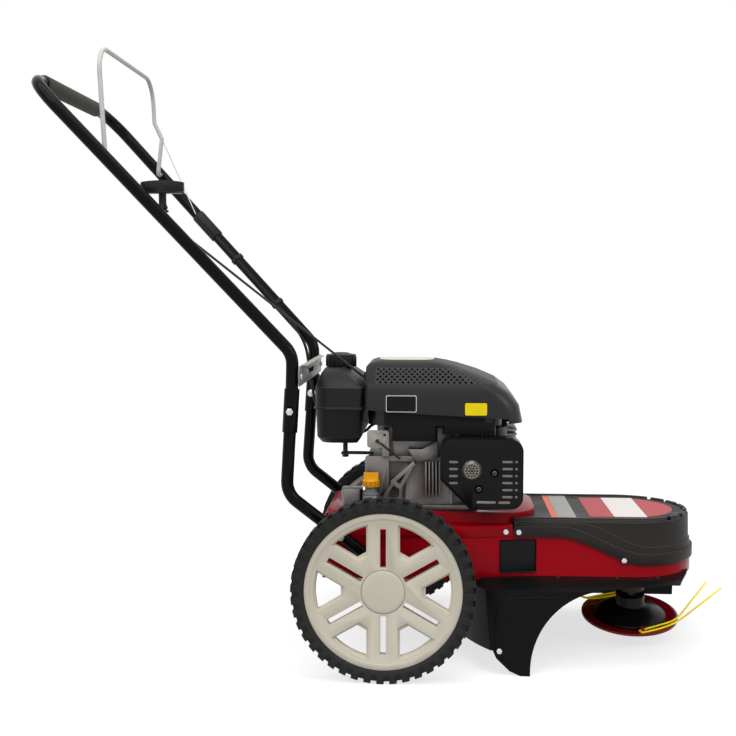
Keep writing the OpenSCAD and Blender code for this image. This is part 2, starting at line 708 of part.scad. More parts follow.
// Bar of the T-handle: flat below, arched above, round at both ends
grip_l = 86;
grip_h = 25;
module starter_handle() color(plastic_black) raised() {
    translate(handle_seat) {
        rotate_extrude() polygon([[0, 0], [8, 0], [10.5, 4], [7.5, 11], [7.5, 36], [0, 36]]);
        intersection() {
            across(-13, 13) difference() {
                rounded_rect(-grip_l / 2, grip_l / 2, 32, 32 + grip_h, 5);
                difference() {
                    translate([-grip_l, 32 + grip_h - 3.5]) square([2 * grip_l, 10]);
                    translate([0, 32 + grip_h - 260]) circle(260, $fn = 360);
                }
                difference() {
                    translate([-grip_l, 30]) square([2 * grip_l, 5.5]);
                    translate([0, 35.5 - 280]) circle(280, $fn = 360);
                    translate([-9, 30]) square([18, 10]);
                }
            }
            translate([0, 0, 20]) linear_extrude(60) rounded_rect(-grip_l / 2, grip_l / 2, -13, 13, 11);
        }
    }
}
rope_top = guide_at - [0, 0, 4.3];
reel_z = shroud_top - 37;
reel_r = 40;
rope_end = [crank_x - 6, -reel_r - rope_r - seat_gap, reel_z];
rope_exit = [-56, -57, reel_z + 5];
module rope_tail() color(plastic_black) raised() {
    rod_between(rope_top + [0, 0, 0.1], handle_seat - [0, 0, 0.1], rope_r);
}
module starter_rope() color(plastic_black) raised() {
    swept_rod(rounded_path([rope_top, rope_top - [0, 0, 9], rope_exit, rope_end], 7), rope_r, 10);
}
reel_post_r = 6;
module starter_reel() color(plastic_black) raised() {
    translate([crank_x, 0, reel_z]) rotate_extrude() polygon([
        [reel_post_r + shaft_gap, -8], [reel_r + 9, -8], [reel_r + 9, -5.5], [reel_r, -4], [reel_r, 4],
        [reel_r + 9, 5.5], [reel_r + 9, 8], [reel_post_r + shaft_gap, 8]]);
}

// Engine block
sump_top = engine_floor + 12;
case_top = 402;
block_top = 468;
oil_at = [-33, -127];
oil_rim = 335;
case_front = 172;
cap_at = [-104, -15];
module strut(a, b, w) {
    translate(a) rotate([0, 0, atan2(b.y - a.y, b.x - a.x)]) translate([0, -w / 2]) square([norm(b - a), w]);
}
module crankcase() color(cast_grey) raised() {
    difference() {
        union() {
            rounded_block(-50, 185, -112, 112, engine_floor, sump_top, 30);
            rounded_block(-36, 165, -100, 100, sump_top - 1, case_top, 40);
            rounded_block(-42, case_front, -106, 106, case_top - 1, case_top + 10, 40);
            rounded_block(-10, 150, -88, 88, case_top + 9, block_top, 24);
            rounded_block(-94, -52, -122, -84, engine_floor + 0.1, 345, 8);
            translate([-60, -116, engine_floor + 0.1]) cube([20, 30, 28]);
            translate([oil_at.x, oil_at.y, engine_floor]) cylinder(r = 18, h = oil_rim - engine_floor);
            translate([oil_at.x - 18, oil_at.y, engine_floor + 0.1]) cube([36, 30, oil_rim - engine_floor - 5]);
            for (i = [0:4]) translate([77 + 7 * i, -116, 332]) cube([3, 40, 70]);
            // Column, gusset, ribs and wedge cast on the side
            across(-108, -95) rounded_rect(-47, 2, 322, case_top + 9, 6);
            across(-114, -98) difference() {
                polygon([[-14, 322], [12, 364], [30, 351], [30, 323]]);
                polygon([[-3, 328], [12, 352], [24, 344], [24, 328]]);
            }
            across(-114, -98) {
                strut([8, 357], [55, 399], 8);
                strut([48, 390], [25, 345], 7);
            }
            across(-112, -86) polygon([[42, 427], [71, 427], [100, 443], [104, 410], [58, 402]]);
            for (s = [-1, 1], x = [0, 36, 128]) translate([x, s * 96 - 6, sump_top - 1]) cube([5, 12, case_top - sump_top]);
        }
        // Room for the crank and the oil
        rounded_block(-28, 157, -92, 92, engine_floor + 10, case_top - 4, 34);
        rounded_block(-2, 142, -80, 80, case_top - 5, block_top - 8, 18);
        translate([crank_x, 0, 0]) cylinder(r = crank_d / 2 + shaft_gap, h = 600);
        translate([oil_at.x, oil_at.y, oil_rim - 32]) cylinder(r = 9, h = 60);
        for (p = engine_bolt_places) translate([p.x, p.y, 0]) {
            translate([0, 0, engine_floor - 5]) cylinder(d = engine_bolt_d + 2 * bolt_gap, h = 40);
            translate([0, 0, sump_top]) cylinder(r = 11, h = 40);
        }
    }
}
module engine_bolts() color(steel) raised() {
    for (p = engine_bolt_places) translate([p.x, p.y, sump_top + 0.1]) {
        hex_bolt(engine_bolt_d, sump_top - engine_floor + 12, 13, 6);
        translate([0, 0, engine_floor - sump_top - sheet - 7]) cylinder(d = 13 / cos(30), h = 6, $fn = 6);
    }
}
module oil_filler_tube() color(plastic_black) raised() {
    translate([oil_at.x, oil_at.y, oil_rim + 0.1]) difference() {
        union() {
            cylinder(r = 12, h = 17);
            cylinder(r = 16, h = 4);
        }
        translate([0, 0, -1]) cylinder(r = 9, h = 30);
    }
}
dip_seat = oil_rim + 17.4;
module dipstick() color(yellow) raised() {
    translate([oil_at.x, oil_at.y, dip_seat]) {
        difference() {
            union() {
                cylinder(r = 17.5, h = 12);
                translate([0, 0, 12]) cylinder(r1 = 17.5, r2 = 14, h = 4);
                translate([-15, -4.5, 15]) cube([30, 9, 13]);
            }
            for (i = [0:11]) rotate([0, 0, 30 * i]) translate([18.5, 0, -1]) cylinder(r = 2.5, h = 11);
        }
        translate([0, 0, -8]) cylinder(r = 8.4, h = 9);
        translate([0, 0, -dipstick_len]) cylinder(r = 2, h = dipstick_len);
    }
}

// Cylinder with cooling fins, its head, spark plug and exhaust
fin_pitch = 9;
cylinder_end = 226;
exhaust = [case_front + 29, 425];
module cylinder_bore_axis(r, h) {
    translate([150.2, 0, 430]) rotate([0, 90, 0]) cylinder(r = r, h = h);
}
module cylinder_block() color(cast_grey) raised() {
    difference() {
        union() {
            lengthwise(150.2, cylinder_end) rounded_rect(-56, 56, 388, 470, 12);
            for (i = [0:7]) lengthwise(156 + fin_pitch * i, 159 + fin_pitch * i) rounded_rect(-72, 72, 380, 481, 16);
        }
        cylinder_bore_axis(30, 80);
        rounded_block(-43, case_front + 0.2, -106.2, 106.2, 370, case_top + 10.2, 40);
    }
}
module cylinder_head() color(cast_grey) raised() {
    difference() {
        union() {
            lengthwise(cylinder_end + 0.2, 246) rounded_rect(-60, 60, 384, 476, 12);
            for (i = [0:7]) translate([245, -56, 390 + 10 * i]) cube([22, 112, 3]);
        }
        spark_frame() translate([0, 0, -6]) cylinder(r = 13, h = 40);
    }
}
module spark_frame() {
    translate([243, 40, 433]) rotate([-75, 0, -20]) children();
}
module spark_plug() color("#e6e4de") raised() {
    spark_frame() {
        translate([0, 0, -5.8]) cylinder(r = 6, h = 14);
        cylinder(r = 11, h = 9, $fn = 6);
        cylinder(r = 6, h = 24);
        translate([0, 0, 18]) cylinder(r = 9, h = 30);
    }
}
muffler_back = -124;
muffler_wall = 2;
module muffler_outline(g) {
    difference() {
        rounded_rect(124 - g, 262 + g, 336 - g, 446 + g, 16 + g);
        translate([guard_box[0] - 8, guard_box[2] - 8]) rotate([0, 0, 45])
            square((guard_chamfer + 16 - 2 * g) * [1, 1], center = true);
    }
}
module muffler() color("#6a6763") raised() {
    difference() {
        union() {
            across(-182, muffler_back) muffler_outline(0);
            across(-158, -154) muffler_outline(1.5);
            translate([exhaust.x, -73, exhaust.y]) rotate([90, 0, 0]) cylinder(r = 14, h = -73 - muffler_back + 1);
            across(-79, -72.05) rounded_rect(exhaust.x - 27, exhaust.x + 27, exhaust.y - 20, exhaust.y + 20, 8);
        }
        across(-182 + muffler_wall, muffler_back - muffler_wall) muffler_outline(-muffler_wall);
        translate([exhaust.x, -70, exhaust.y]) rotate([90, 0, 0]) cylinder(r = 11, h = -70 - muffler_back + 10);
        guard_screw_holes();
    }
}
guard_front = -190;
guard_wall = 2;
guard_screws = [[215, 392], [184, 360]];
guard_dome = [170, 397];
guard_box = [108, 272, 319, 458];
guard_chamfer = 105;
guard_step = 4;
guard_edge = 3.5;
module guard_outline(g) {
    difference() {
        rounded_rect(guard_box[0] - g, guard_box[1] + g, guard_box[2] - g, guard_box[3] + g, 24);
        translate([guard_box[0] - g - 8, guard_box[2] - g - 8]) rotate([0, 0, 45])
            square(guard_chamfer * [1, 1], center = true);
    }
}
module guard_screw_holes() {
    for (p = guard_screws) translate([p.x, guard_front - 5, p.y]) rotate([-90, 0, 0])
        cylinder(d = screw_d + 2 * bolt_gap, h = 26);
}
module muffler_guard() color(gloss_black) raised() {
    difference() {
        union() {
            across(guard_front + guard_step, -126) guard_outline(0);
            across(guard_front, guard_front + guard_step + 1) guard_outline(-guard_edge);
            translate([guard_dome.x, guard_front, guard_dome.y]) rotate([90, 0, 0]) cylinder(r1 = 20, r2 = 15, h = 7);
        }
        across(guard_front + guard_step + guard_wall, -120) guard_outline(-guard_wall);
        across(guard_front + guard_wall, -120) guard_outline(-guard_edge - guard_wall);
        for (p = guard_screws) translate([p.x, guard_front - 1, p.y]) rotate([-90, 0, 0]) cylinder(r = 9, h = 1.8);
        translate([guard_dome.x, guard_front, guard_dome.y]) rotate([90, 0, 0]) translate([0, 0, -guard_wall - 1])
            cylinder(r1 = 18.5, r2 = 13, h = 8);
        // Holes in the dome, slots beside it and a row along the lower edge
        across(guard_front - 20, guard_front + 10) {
            translate(guard_dome) {
                circle(2.2);
                for (n = [1, 2], i = [0:6 * n - 1]) rotate([0, 0, 60 * i / n]) translate([5.5 * n, 0]) circle(1.8);
            }
            for (i = [0:3]) rounded_rect(125, 143, 369 + 14 * i, 374 + 14 * i, 2.4);
            for (i = [0:5]) {
                rounded_rect(230, 251, 342 + 14 * i, 347 + 14 * i, 2.4);
                rounded_rect(255, 261, 342 + 14 * i, 347 + 14 * i, 2.4);
            }
            rounded_rect(180, 218, 331, 336, 2.4);
            rounded_rect(223, 246, 331, 336, 2.4);
        }
        guard_screw_holes();
    }
}

// Shroud over the flywheel, with a diamond grille cut into both flanks
shroud_rear = -46;
// Corner radius where the shroud and the tank meet
joint_r = 12;
function shroud_z(share) = shroud_low + share * shroud_h;
shroud_levels = [
    // height, front, rear, half width, corner radius
    [shroud_z(0), 274, shroud_rear, shroud_half, 40],
    [shroud_z(0.286), 267, shroud_rear, shroud_half, 40],
    [shroud_z(0.496), 248, shroud_rear, shroud_half - 0.5, 40],
    [shroud_z(0.639), 225, shroud_rear, shroud_half - 3, 40],
    [shroud_z(0.79), 186, shroud_rear, shroud_half - 30, 36],
    [shroud_z(0.908), 145, shroud_rear, shroud_half - 56, 32],
    [shroud_z(0.958), 123, shroud_rear + 5, shroud_half - 68, 30],
    [shroud_top, 100, shroud_rear + 18, shroud_half - 86, 28]
];
module shroud_solid(g, drop) {
    hull() for (level = shroud_levels) translate([0, 0, level[0] - (level[0] == shroud_low ? 0 : drop) - 1])
        linear_extrude(1) for (e = [[level[2] - g + joint_r, joint_r], [level[1] + g - level[4], level[4]]], s = [-1, 1])
            translate([e[0], s * (level[3] + g - e[1])]) circle(e[1], $fn = 24);
}
// Diamond grille on each flank, its rows shorter towards the top
flank = [shroud_levels[3], shroud_levels[5]];
flank_in = flank[0][3] - flank[1][3];
flank_up = flank[1][0] - flank[0][0];
flank_len = norm([flank_in, flank_up]);
grille_rows = 6;
grille_pitch = 11.5;
grille_step = flank_len * 0.145;
grille_r = 4.2;
module grille_cuts() {
    for (s = [-1, 1]) translate([-20, s * (flank[0][3] - flank_in / 2), flank[0][0] + flank_up / 2 - 1])
        rotate([-s * atan2(flank_up, flank_in), 0, 0]) for (row = [0:grille_rows - 1])
            let (
                down = (row - (grille_rows - 1) / 2) * grille_step,
                front = flank[1][1] + (flank[0][1] - flank[1][1]) * (0.5 + down / flank_len)
            )
            for (col = [0:floor((front - 8) / grille_pitch) - 1])
                translate([grille_pitch * (col + (row % 2) / 2), s * down, -12])
                    cylinder(r = grille_r, h = 24, $fn = 4);
}
// Lower edge of the smooth band, which rises towards the rear, and the skirt set in under it
skirt_low = shroud_low - 7;
skirt_inset = 9;
ledge = shroud_low + 27;
module band_edge_cut() {
    for (s = [-1, 1]) translate([0, s * (shroud_half + 5), 0]) across(-11.5, 11.5)
        polygon([[-80, shroud_low - 20], [-80, shroud_low + 26], [-46, shroud_low + 25], [71, shroud_low + 17],
                 [246, shroud_low + 8], [250, shroud_low - 2], [250, shroud_low - 20]]);
}
module skirt(g, low, high) {
    rounded_block(-40 - g, 232 + g, skirt_inset - shroud_half - g, shroud_half - skirt_inset + g, low, high, 34 + g);
}
module blower_shroud() color(plastic_black) raised() {
    difference() {
        union() {
            difference() {
                shroud_solid(0, 0);
                shroud_solid(-plastic_wall, plastic_wall);
                band_edge_cut();
                grille_cuts();
            }
            // Skirt on its ledge, with two lower covers over the intake and the cylinder
            difference() {
                union() {
                    skirt(0, skirt_low, ledge + plastic_wall);
                    rounded_block(-44, 250, 2 - shroud_half, shroud_half - 2, ledge, ledge + plastic_wall, 38);
                    rounded_block(10, 102, skirt_inset - shroud_half, -112, 447, skirt_low + 8, 8);
                    rounded_block(112, 218, skirt_inset - shroud_half, -104, 461, skirt_low + 8, 8);
                }
                skirt(-plastic_wall, skirt_low + 7, shroud_top);
                skirt(-plastic_wall - 20, 400, shroud_top);
                rounded_block(-36, 228, -112, shroud_half - skirt_inset - plastic_wall, 400, shroud_top, 20);
                rounded_block(13.5, 98.5, skirt_inset - shroud_half + plastic_wall, -100, 440, shroud_top, 5);
                rounded_block(115.5, 214.5, skirt_inset - shroud_half + plastic_wall, -100, 440, shroud_top, 5);
            }
            translate([crank_x, 0, reel_z - 9]) cylinder(r = reel_post_r, h = shroud_top - reel_z + 7);
            // Ferrule of the starter rope
            rod_between(along(rope_exit, rope_end, 4), along(rope_exit, rope_end, 18), rope_r + 6);
        }
        rod_between(along(rope_exit, rope_end, -20), along(rope_exit, rope_end, 40), rope_r + 2);
    }
}
module shroud_inset() color("#c9c7c0") raised() {
    rounded_block(-22, 94, -46, 46, shroud_top + 0.1, shroud_top + 2, 34);
}
screw_d = 5;
module engine_screws() color(steel) raised() {
    for (p = guard_screws) translate([p.x, guard_front + 0.6, p.y]) rotate([90, 0, 0]) hex_bolt(screw_d, 14, 8, 3.5);
}

// Fuel tank in two moulded halves with a seam, its cap and the stay under it
tank_low = 440;
tank_levels = [
    // height, rear, front, half width, corner radius
    [tank_low, -137, -62, 118, 24], [452, -146, -54, 130, 28], [540, -149, -49, 143, 32], [555, -148, -49, 143, 34],
    [568, -144, -64, 132, 32], [581, -139, -79, 108, 26], [590, -133, -93, 88, 18]
];
module tank_solid(g) {
    hull() for (level = tank_levels) translate([0, 0, level[0] + (level[0] == tank_low ? -g : g) - 0.5]) linear_extrude(0.5)
        for (e = [[level[1] - g + level[4], level[4]], [level[2] + g - joint_r, joint_r]], s = [-1, 1])
            translate([e[0], s * (level[3] + g - e[1])]) circle(e[1], $fn = 24);
}
neck_r = 23;
module fuel_tank() color(plastic_black) raised() {
    difference() {
        union() {
            tank_solid(0);
            rounded_block(-151, -70, -143, 143, 510, 514, 33);
            rounded_block(-110, -48, -143, 143, 510, 514, joint_r);
            translate([cap_at.x, cap_at.y, 566]) cylinder(r = neck_r, h = 33);
        }
        tank_solid(-plastic_wall);
        translate([cap_at.x, cap_at.y, 555]) cylinder(r = neck_r - 3, h = 60);
    }
}
cap_low = 590.4;
module fuel_cap() color(plastic_black) raised() {
    translate([cap_at.x, cap_at.y, 0]) difference() {
        union() {
            translate([0, 0, cap_low]) linear_extrude(21) polygon(toothed(20, fuel_cap_d / 2 - 2.5, fuel_cap_d / 2, 0.62));
            translate([0, 0, cap_low]) cylinder(d = fuel_cap_d - 3, h = 25);
            translate([0, 0, cap_low + 24]) cylinder(r1 = fuel_cap_d / 2 - 5, r2 = 14, h = 5);
        }
        translate([0, 0, cap_low - 1]) cylinder(r = neck_r + seat_gap, h = 11);
    }
}
module tank_stay() color(steel) raised() {
    stay_low = case_top + 10.1;
    translate([-90, -77, stay_low]) cylinder(r = 5, h = tank_low - stay_low - 0.6);
    translate([-98, -92, stay_low]) cube([66, 30, 3]);
    translate([-90, -77, stay_low - 7]) cylinder(d = 12 / cos(30), h = 7.2, $fn = 6);
}

// Air filter, carburettor and controls
module air_filter_box() color(plastic_black) raised() {
    rounded_block(95, 226, 126, 180, 392, 470, 14);
    across(150, 154) rounded_rect(92, 229, 389, 473, 12);
}
module carburettor() color(cast_grey) raised() {
    translate([188, 72.05, 430]) rotate([-90, 0, 0]) cylinder(r = 15, h = 53.9);
    rounded_block(170, 210, 84, 116, 405, 452, 6);
    translate([188, 100, 388]) cylinder(r = 17, h = 20);
}
module control_bracket() color(steel) raised() {
    difference() {
        union() {
            across(-117, -115) {
                rounded_rect(-42, 3, 430, 466, 6);
                translate([-11, case_top + 10.2]) square([14, 30]);
            }
            translate([-11, -116, case_top + 10.2]) cube([14, 20, 2]);
        }
        across(-130, -100) translate([-6, 456]) circle(3);
    }
    rod_between([-21, -120, 444], [26, -120, 408], 2);
    translate([-21, -121.5, 444]) rotate([-90, 0, 0]) cylinder(r = 4, h = 5);
    across(112, 114) rounded_rect(-34, 6, 413, 462, 6);
    translate([-30, 92, 412.2]) cube([30, 21, 2]);
    translate([-28.8, 110, 445]) cube([12, 14, 14]);
}

// Crankshaft with flywheel and pulley, the belt and the leaning spindle
belt_w = 56;
belt_z = belt_floor + belt_w * cos(head_lean);
belt_half = 6.2;
groove_depth = 9;
crank_low = belt_z - 16;
module crankshaft() color(steel) raised() {
    translate([crank_x, 0, crank_low]) cylinder(d = crank_d, h = 545 - crank_low);
    translate([crank_x, 0, 478]) cylinder(r = crank_d / 2 + 6, h = 8);
}
module vee_pulley(d, bore) {
    rotate_extrude() polygon([
        [bore / 2 + shaft_gap, -9], [d / 2, -9], [d / 2, -7.2], [d / 2 - groove_depth - 2, -3.4],
        [d / 2 - groove_depth - 2, 3.4], [d / 2, 7.2], [d / 2, 9], [bore / 2 + shaft_gap, 9]]);
}
module drive_pulley() color(steel) raised() translate([crank_x, 0, belt_z]) vee_pulley(drive_pulley_d, crank_d);
module spindle_pulley() color(steel) raised() on_spindle() translate([0, 0, belt_w]) vee_pulley(spindle_pulley_d, spindle_d);
module flywheel() color(cast_grey) raised() {
    translate([crank_x, 0, 0]) difference() {
        union() {
            translate([0, 0, 494]) cylinder(r = 88, h = 24);
            for (i = [0:15]) rotate([0, 0, 22.5 * i]) translate([44, -1.5, 517]) cube([42, 3, 20]);
            translate([0, 0, 517]) cylinder(r = 30, h = 14);
        }
        cylinder(r = crank_d / 2 + shaft_gap, h = 600);
    }
}
// Belt: one loop of four-cornered rings, half round each pulley; the driven half leans with the spindle
belt_t = 7;
belt_in = 2.9;
belt_out = 5;
belt_steps = 12;
belt_r = [for (d = [drive_pulley_d, spindle_pulley_d]) d / 2 - groove_depth - 0.6 + belt_t / 2];
belt_at = [[crank_x, 0, belt_z], head_floor + belt_w * [0, -sin(head_lean), cos(head_lean)]];
belt_lean = [0, head_lean];
function belt_ring(e, a) = let (out = [cos(a), sin(a) * cos(belt_lean[e]), sin(a) * sin(belt_lean[e])],
    up = [0, -sin(belt_lean[e]), cos(belt_lean[e])])
    [for (q = [[-1, -1], [1, -1], [1, 1], [-1, 1]])
        belt_at[e] + out * (belt_r[e] + q.x * belt_t / 2) + up * q.y * (q.x < 0 ? belt_in : belt_out)];
module drive_belt() color(tyre_black) raised() {
    rings = [for (e = [0, 1], k = [0:belt_steps]) belt_ring(e, 90 - 180 * e + 180 * k / belt_steps)];
    n = len(rings);
    polyhedron([for (r = rings) each r], [for (i = [0:n - 1], k = [0:3]) let (
        j = (k + 1) % 4, p = 4 * i, q = 4 * ((i + 1) % n)) each [[p + k, p + j, q + k], [p + j, q + j, q + k]]]);
}

// Spindle housing, bearings and spindle, in the leaning frame
housing_low = -96;
housing_high = 38;
housing_r = 28;
bearing_r = 21;
bearing_h = 12;
module spindle_housing() color(cast_grey) raised() {
    difference() {
        union() {
            translate(head_floor + [0, 0, 0.1]) cylinder(r = 58, h = 6);
            on_spindle() translate([0, 0, housing_low]) cylinder(r = housing_r, h = housing_high - housing_low);
        }
        on_spindle() {
            translate([0, 0, housing_low - 1]) cylinder(r = spindle_d / 2 + 4, h = 200);
            for (w = [housing_low - 1, housing_high - bearing_h]) translate([0, 0, w])
                cylinder(r = bearing_r + shaft_gap, h = bearing_h + 1);
        }
    }
}
module spindle_bearings() color(steel) raised() on_spindle() {
    for (w = [housing_low, housing_high - bearing_h + 0.2]) translate([0, 0, w]) difference() {
        cylinder(r = bearing_r, h = bearing_h - 0.2);
        translate([0, 0, -1]) cylinder(r = spindle_d / 2 + shaft_gap, h = 30);
    }
}
module spindle_shaft() color(steel) raised() on_spindle() {
    translate([0, 0, -head_drop - 14]) cylinder(d = spindle_d, h = head_drop + 14 + belt_w + 12);
    translate([0, 0, -head_drop - 17]) cylinder(d = 30 / cos(30), h = 6.7, $fn = 6);
}
hub_top = -108;
module head_hub() color(plastic_black) raised() on_spindle() {
    b = spindle_d / 2 + shaft_gap;
    d = -head_drop;
    rotate_extrude() polygon([
        [b, d - 5.6], [44, d - 5.6], [76, d + 0.1], [76, d + 5], [62, d + 13], [42, d + 22], [30, d + 26],
        [30, hub_top], [b, hub_top]]);
}
post_at = [14, -90];
post_r = 3;
module glide_disc() color("#6d0a12") raised() on_spindle() {
    b = spindle_d / 2 + shaft_gap;
    d = -head_drop;
    edge = disc_d / 2;
    rotate_extrude() polygon([
        [b, d - 6], [45, d - 6], [edge - 6, d + 3], [edge, d + 3.5], [edge, d - 1], [edge - 3, d - 3],
        [46, d - 10], [b, d - 10]]);
    for (k = [0, 180]) rotate([0, 0, k]) translate([post_at.x, post_at.y, d - 1]) {
        cylinder(r = post_r, h = 15);
        translate([0, 0, 14]) cylinder(r = post_r + 2.5, h = 2.5);
    }
}

// Trimmer lines: each is one length looped round its post, with both ends swept up and outwards
loop_r = post_r + line_d / 2 + seat_gap;
loop_dir = unit([0.89, 0.45, 0]);
loop_side = [-loop_dir.y, loop_dir.x, 0];
line_rest = 3.4 + line_d / 2;
line_path = [
    [161, 5, 75], [128, -20, 46], [91, -46, 14], [52, -64, 6.6],
    for (q = [90:45:270]) [post_at.x, post_at.y, line_rest] + loop_r * (cos(q) * loop_dir + sin(q) * loop_side),
    [59, -74, 6.6], [95, -53, 13], [140, -45, 48], [183, -34, 80]
];
function catmull(p, i, t) = let (a = p[max(i - 1, 0)], b = p[i], c = p[i + 1], d = p[min(i + 2, len(p) - 1)])
    0.5 * (2 * b + (c - a) * t + (2 * a - 5 * b + 4 * c - d) * t * t + (3 * b - a - 3 * c + d) * t * t * t);
strand_steps = 4;
function strand_points(p) = [for (i = [0:len(p) - 2], k = [0:strand_steps - 1]) catmull(p, i, k / strand_steps),
    p[len(p) - 1]];
module trimmer_lines() color("#f7d21a") raised() on_spindle() translate([0, 0, -head_drop]) {
    for (k = [0, 180]) rotate([0, 0, k]) swept_rod(strand_points(line_path), line_d / 2, 8);
}

// Wheels, drawn with the axle along Z and the outer side up
function toothed(n, r0, r1, share) = [for (i = [0:n - 1], q = [[0, r0], [0, r1], [share, r1], [share, r0]])
    let (a = 360 * (i + q[0]) / n) q[1] * [cos(a), sin(a)]];
rim_r = rim_d / 2;
tread_r = wheel_r - lug_h;
lug_share = 0.56;
module on_wheel(s) {
    translate([0, s * track / 2, wheel_r]) facing_side(s) children();
}
module tyre(s) color(tyre_black) on_wheel(s) {
    w = tyre_w / 2;
    rotate_extrude() polygon([
        [rim_r, -w + 4], [rim_r + 6, -w], [tread_r - 3, -w], [tread_r, -w + 4], [tread_r, -4], [wheel_r, -4],
        [wheel_r, 4], [tread_r, 4], [tread_r, w - 4], [tread_r - 3, w], [rim_r + 6, w], [rim_r, w - 4]]);
    for (k = [0, 1]) rotate([0, 0, k * 180 / lug_count]) translate([0, 0, k ? 6.5 : -w + 1]) linear_extrude(w - 7.5)
        difference() {
            polygon(toothed(lug_count, tread_r - 1.5, wheel_r, lug_share));
            circle(tread_r - 4);
        }
}
spokes = 6;
module rim(s) color(cream) on_wheel(s) {
    barrel = 19;
    difference() {
        union() {
            rotate_extrude() translate([rim_r - 11, -barrel]) square([11, 2 * barrel]);
            translate([0, 0, 2]) cylinder(r = rim_r - 5, h = hub_face - 2);
            translate([0, 0, -hub_inner]) cylinder(r = axle_d / 2 + 18, h = hub_inner + hub_face);
        }
        translate([0, 0, -50]) cylinder(r = axle_d / 2 + shaft_gap, h = 100);
        translate([0, 0, hub_seat]) cylinder(r = axle_d / 2 + 12, h = 50);
        // Windows between the spokes
        translate([0, 0, -5]) linear_extrude(50) windows(0);
        translate([0, 0, hub_face - window_step]) linear_extrude(50) windows(window_lip);
        // Slot along each spoke
        translate([0, 0, -5]) linear_extrude(50) for (i = [0:spokes - 1]) rotate([0, 0, 30 + 60 * i])
            rounded_rect(hub_cap_d / 2 + 5, rim_r - 30, -spoke_slot_w / 2, spoke_slot_w / 2, 1.5);
        // Seat of the hub cap
        translate([0, 0, hub_face - cap_sink]) cylinder(r = hub_cap_d / 2 + 0.9, h = 20);
    }
}
window_lip = 3.5;
window_step = 4;
cap_sink = 3;
module windows(g) {
    inner = (spoke_w / 2 - g + 10 * cos(30)) / sin(30);
    for (i = [0:spokes - 1]) rotate([0, 0, 60 * i]) intersection() {
        circle(rim_r - 22 + g);
        polygon([[inner, -10], [inner, 10], [inner + 100, 10 + 100 * tan(30)], [inner + 100, -10 - 100 * tan(30)]]);
    }
}
module hub_cap(s) color(cream) on_wheel(s) {
    translate([0, 0, hub_face - cap_sink]) rotate_extrude() polygon([
        [0, 0.1], [hub_cap_d / 2, 0.1], [hub_cap_d / 2, cap_sink], [hub_cap_d / 2 - 1.2, cap_sink + 1.2],
        [hub_cap_d / 2 - 10, cap_sink + 1.6], [0, cap_sink + 2]]);
}
module tyre_right() tyre(-1);
module rim_right() rim(-1);
module hub_cap_right() hub_cap(-1);
module tyre_left() tyre(1);
module rim_left() rim(1);
module hub_cap_left() hub_cap(1);

deck();
engine_deck();
belt_cover();
deck_bolts();
debris_shield();
shield_fasteners();
axle();
axle_brackets();
axle_retainers();
lower_handle_right();
lower_handle_left();
upper_handle();
handle_grip();
handle_bolts();
cross_brace();
rope_guide();
cable_clips();
bail_cable();
bail();
bail_wire();
starter_handle();
rope_tail();
starter_rope();
starter_reel();
crankcase();
cylinder_block();
cylinder_head();
spark_plug();
muffler();
muffler_guard();
blower_shroud();
shroud_inset();
engine_screws();
fuel_tank();
tank_stay();
fuel_cap();
air_filter_box();
carburettor();
control_bracket();
oil_filler_tube();
dipstick();
engine_bolts();
crankshaft();
flywheel();
drive_pulley();
drive_belt();
spindle_housing();
spindle_bearings();
spindle_shaft();
spindle_pulley();
head_hub();
glide_disc();
trimmer_lines();
tyre_right();
rim_right();
hub_cap_right();
tyre_left();
rim_left();
hub_cap_left();
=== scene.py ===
"""Finishes and fine pieces of a walk-behind string trimmer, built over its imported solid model."""
import json
import math

import bpy
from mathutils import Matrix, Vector

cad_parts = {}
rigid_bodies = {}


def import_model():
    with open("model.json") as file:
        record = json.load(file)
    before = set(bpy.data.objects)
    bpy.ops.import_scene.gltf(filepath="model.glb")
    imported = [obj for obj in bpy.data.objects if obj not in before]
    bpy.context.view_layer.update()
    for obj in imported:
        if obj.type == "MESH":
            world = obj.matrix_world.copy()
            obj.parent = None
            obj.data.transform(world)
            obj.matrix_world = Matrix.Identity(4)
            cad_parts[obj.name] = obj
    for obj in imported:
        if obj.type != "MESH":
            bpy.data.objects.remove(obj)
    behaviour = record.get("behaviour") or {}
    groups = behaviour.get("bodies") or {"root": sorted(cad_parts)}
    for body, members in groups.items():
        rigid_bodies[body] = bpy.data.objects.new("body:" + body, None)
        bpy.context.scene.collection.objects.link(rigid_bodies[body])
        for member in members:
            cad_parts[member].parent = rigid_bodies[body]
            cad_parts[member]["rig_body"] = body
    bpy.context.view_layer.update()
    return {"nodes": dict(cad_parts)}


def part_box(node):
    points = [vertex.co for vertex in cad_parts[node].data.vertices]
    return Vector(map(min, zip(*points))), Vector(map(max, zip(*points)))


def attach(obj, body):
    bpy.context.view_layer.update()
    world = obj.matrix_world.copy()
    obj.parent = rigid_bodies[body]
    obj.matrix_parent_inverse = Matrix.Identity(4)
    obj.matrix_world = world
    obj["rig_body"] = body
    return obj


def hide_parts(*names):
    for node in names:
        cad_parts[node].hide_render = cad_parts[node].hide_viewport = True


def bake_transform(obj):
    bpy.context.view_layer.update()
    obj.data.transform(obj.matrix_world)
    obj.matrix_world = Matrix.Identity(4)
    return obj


bl_info = {
    "name": "Wheeled string trimmer",
    "version": (1, 0, 0),
    "blender": (4, 5, 0),
    "location": "View3D > Sidebar > Trimmer",
    "description": "Adds the finishes and fine pieces of a walk-behind string trimmer",
    "category": "Object",
}

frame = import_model()
NODES = frame["nodes"]

# Turn that stands a flat piece up to face the near side
UPRIGHT = (math.radians(90), 0, 0)
# Material places of a dressed solid: its skin, and its edges lightened with a painted highlight where it has
# them
SKIN = 0
HIGHLIGHTED_EDGE = 1


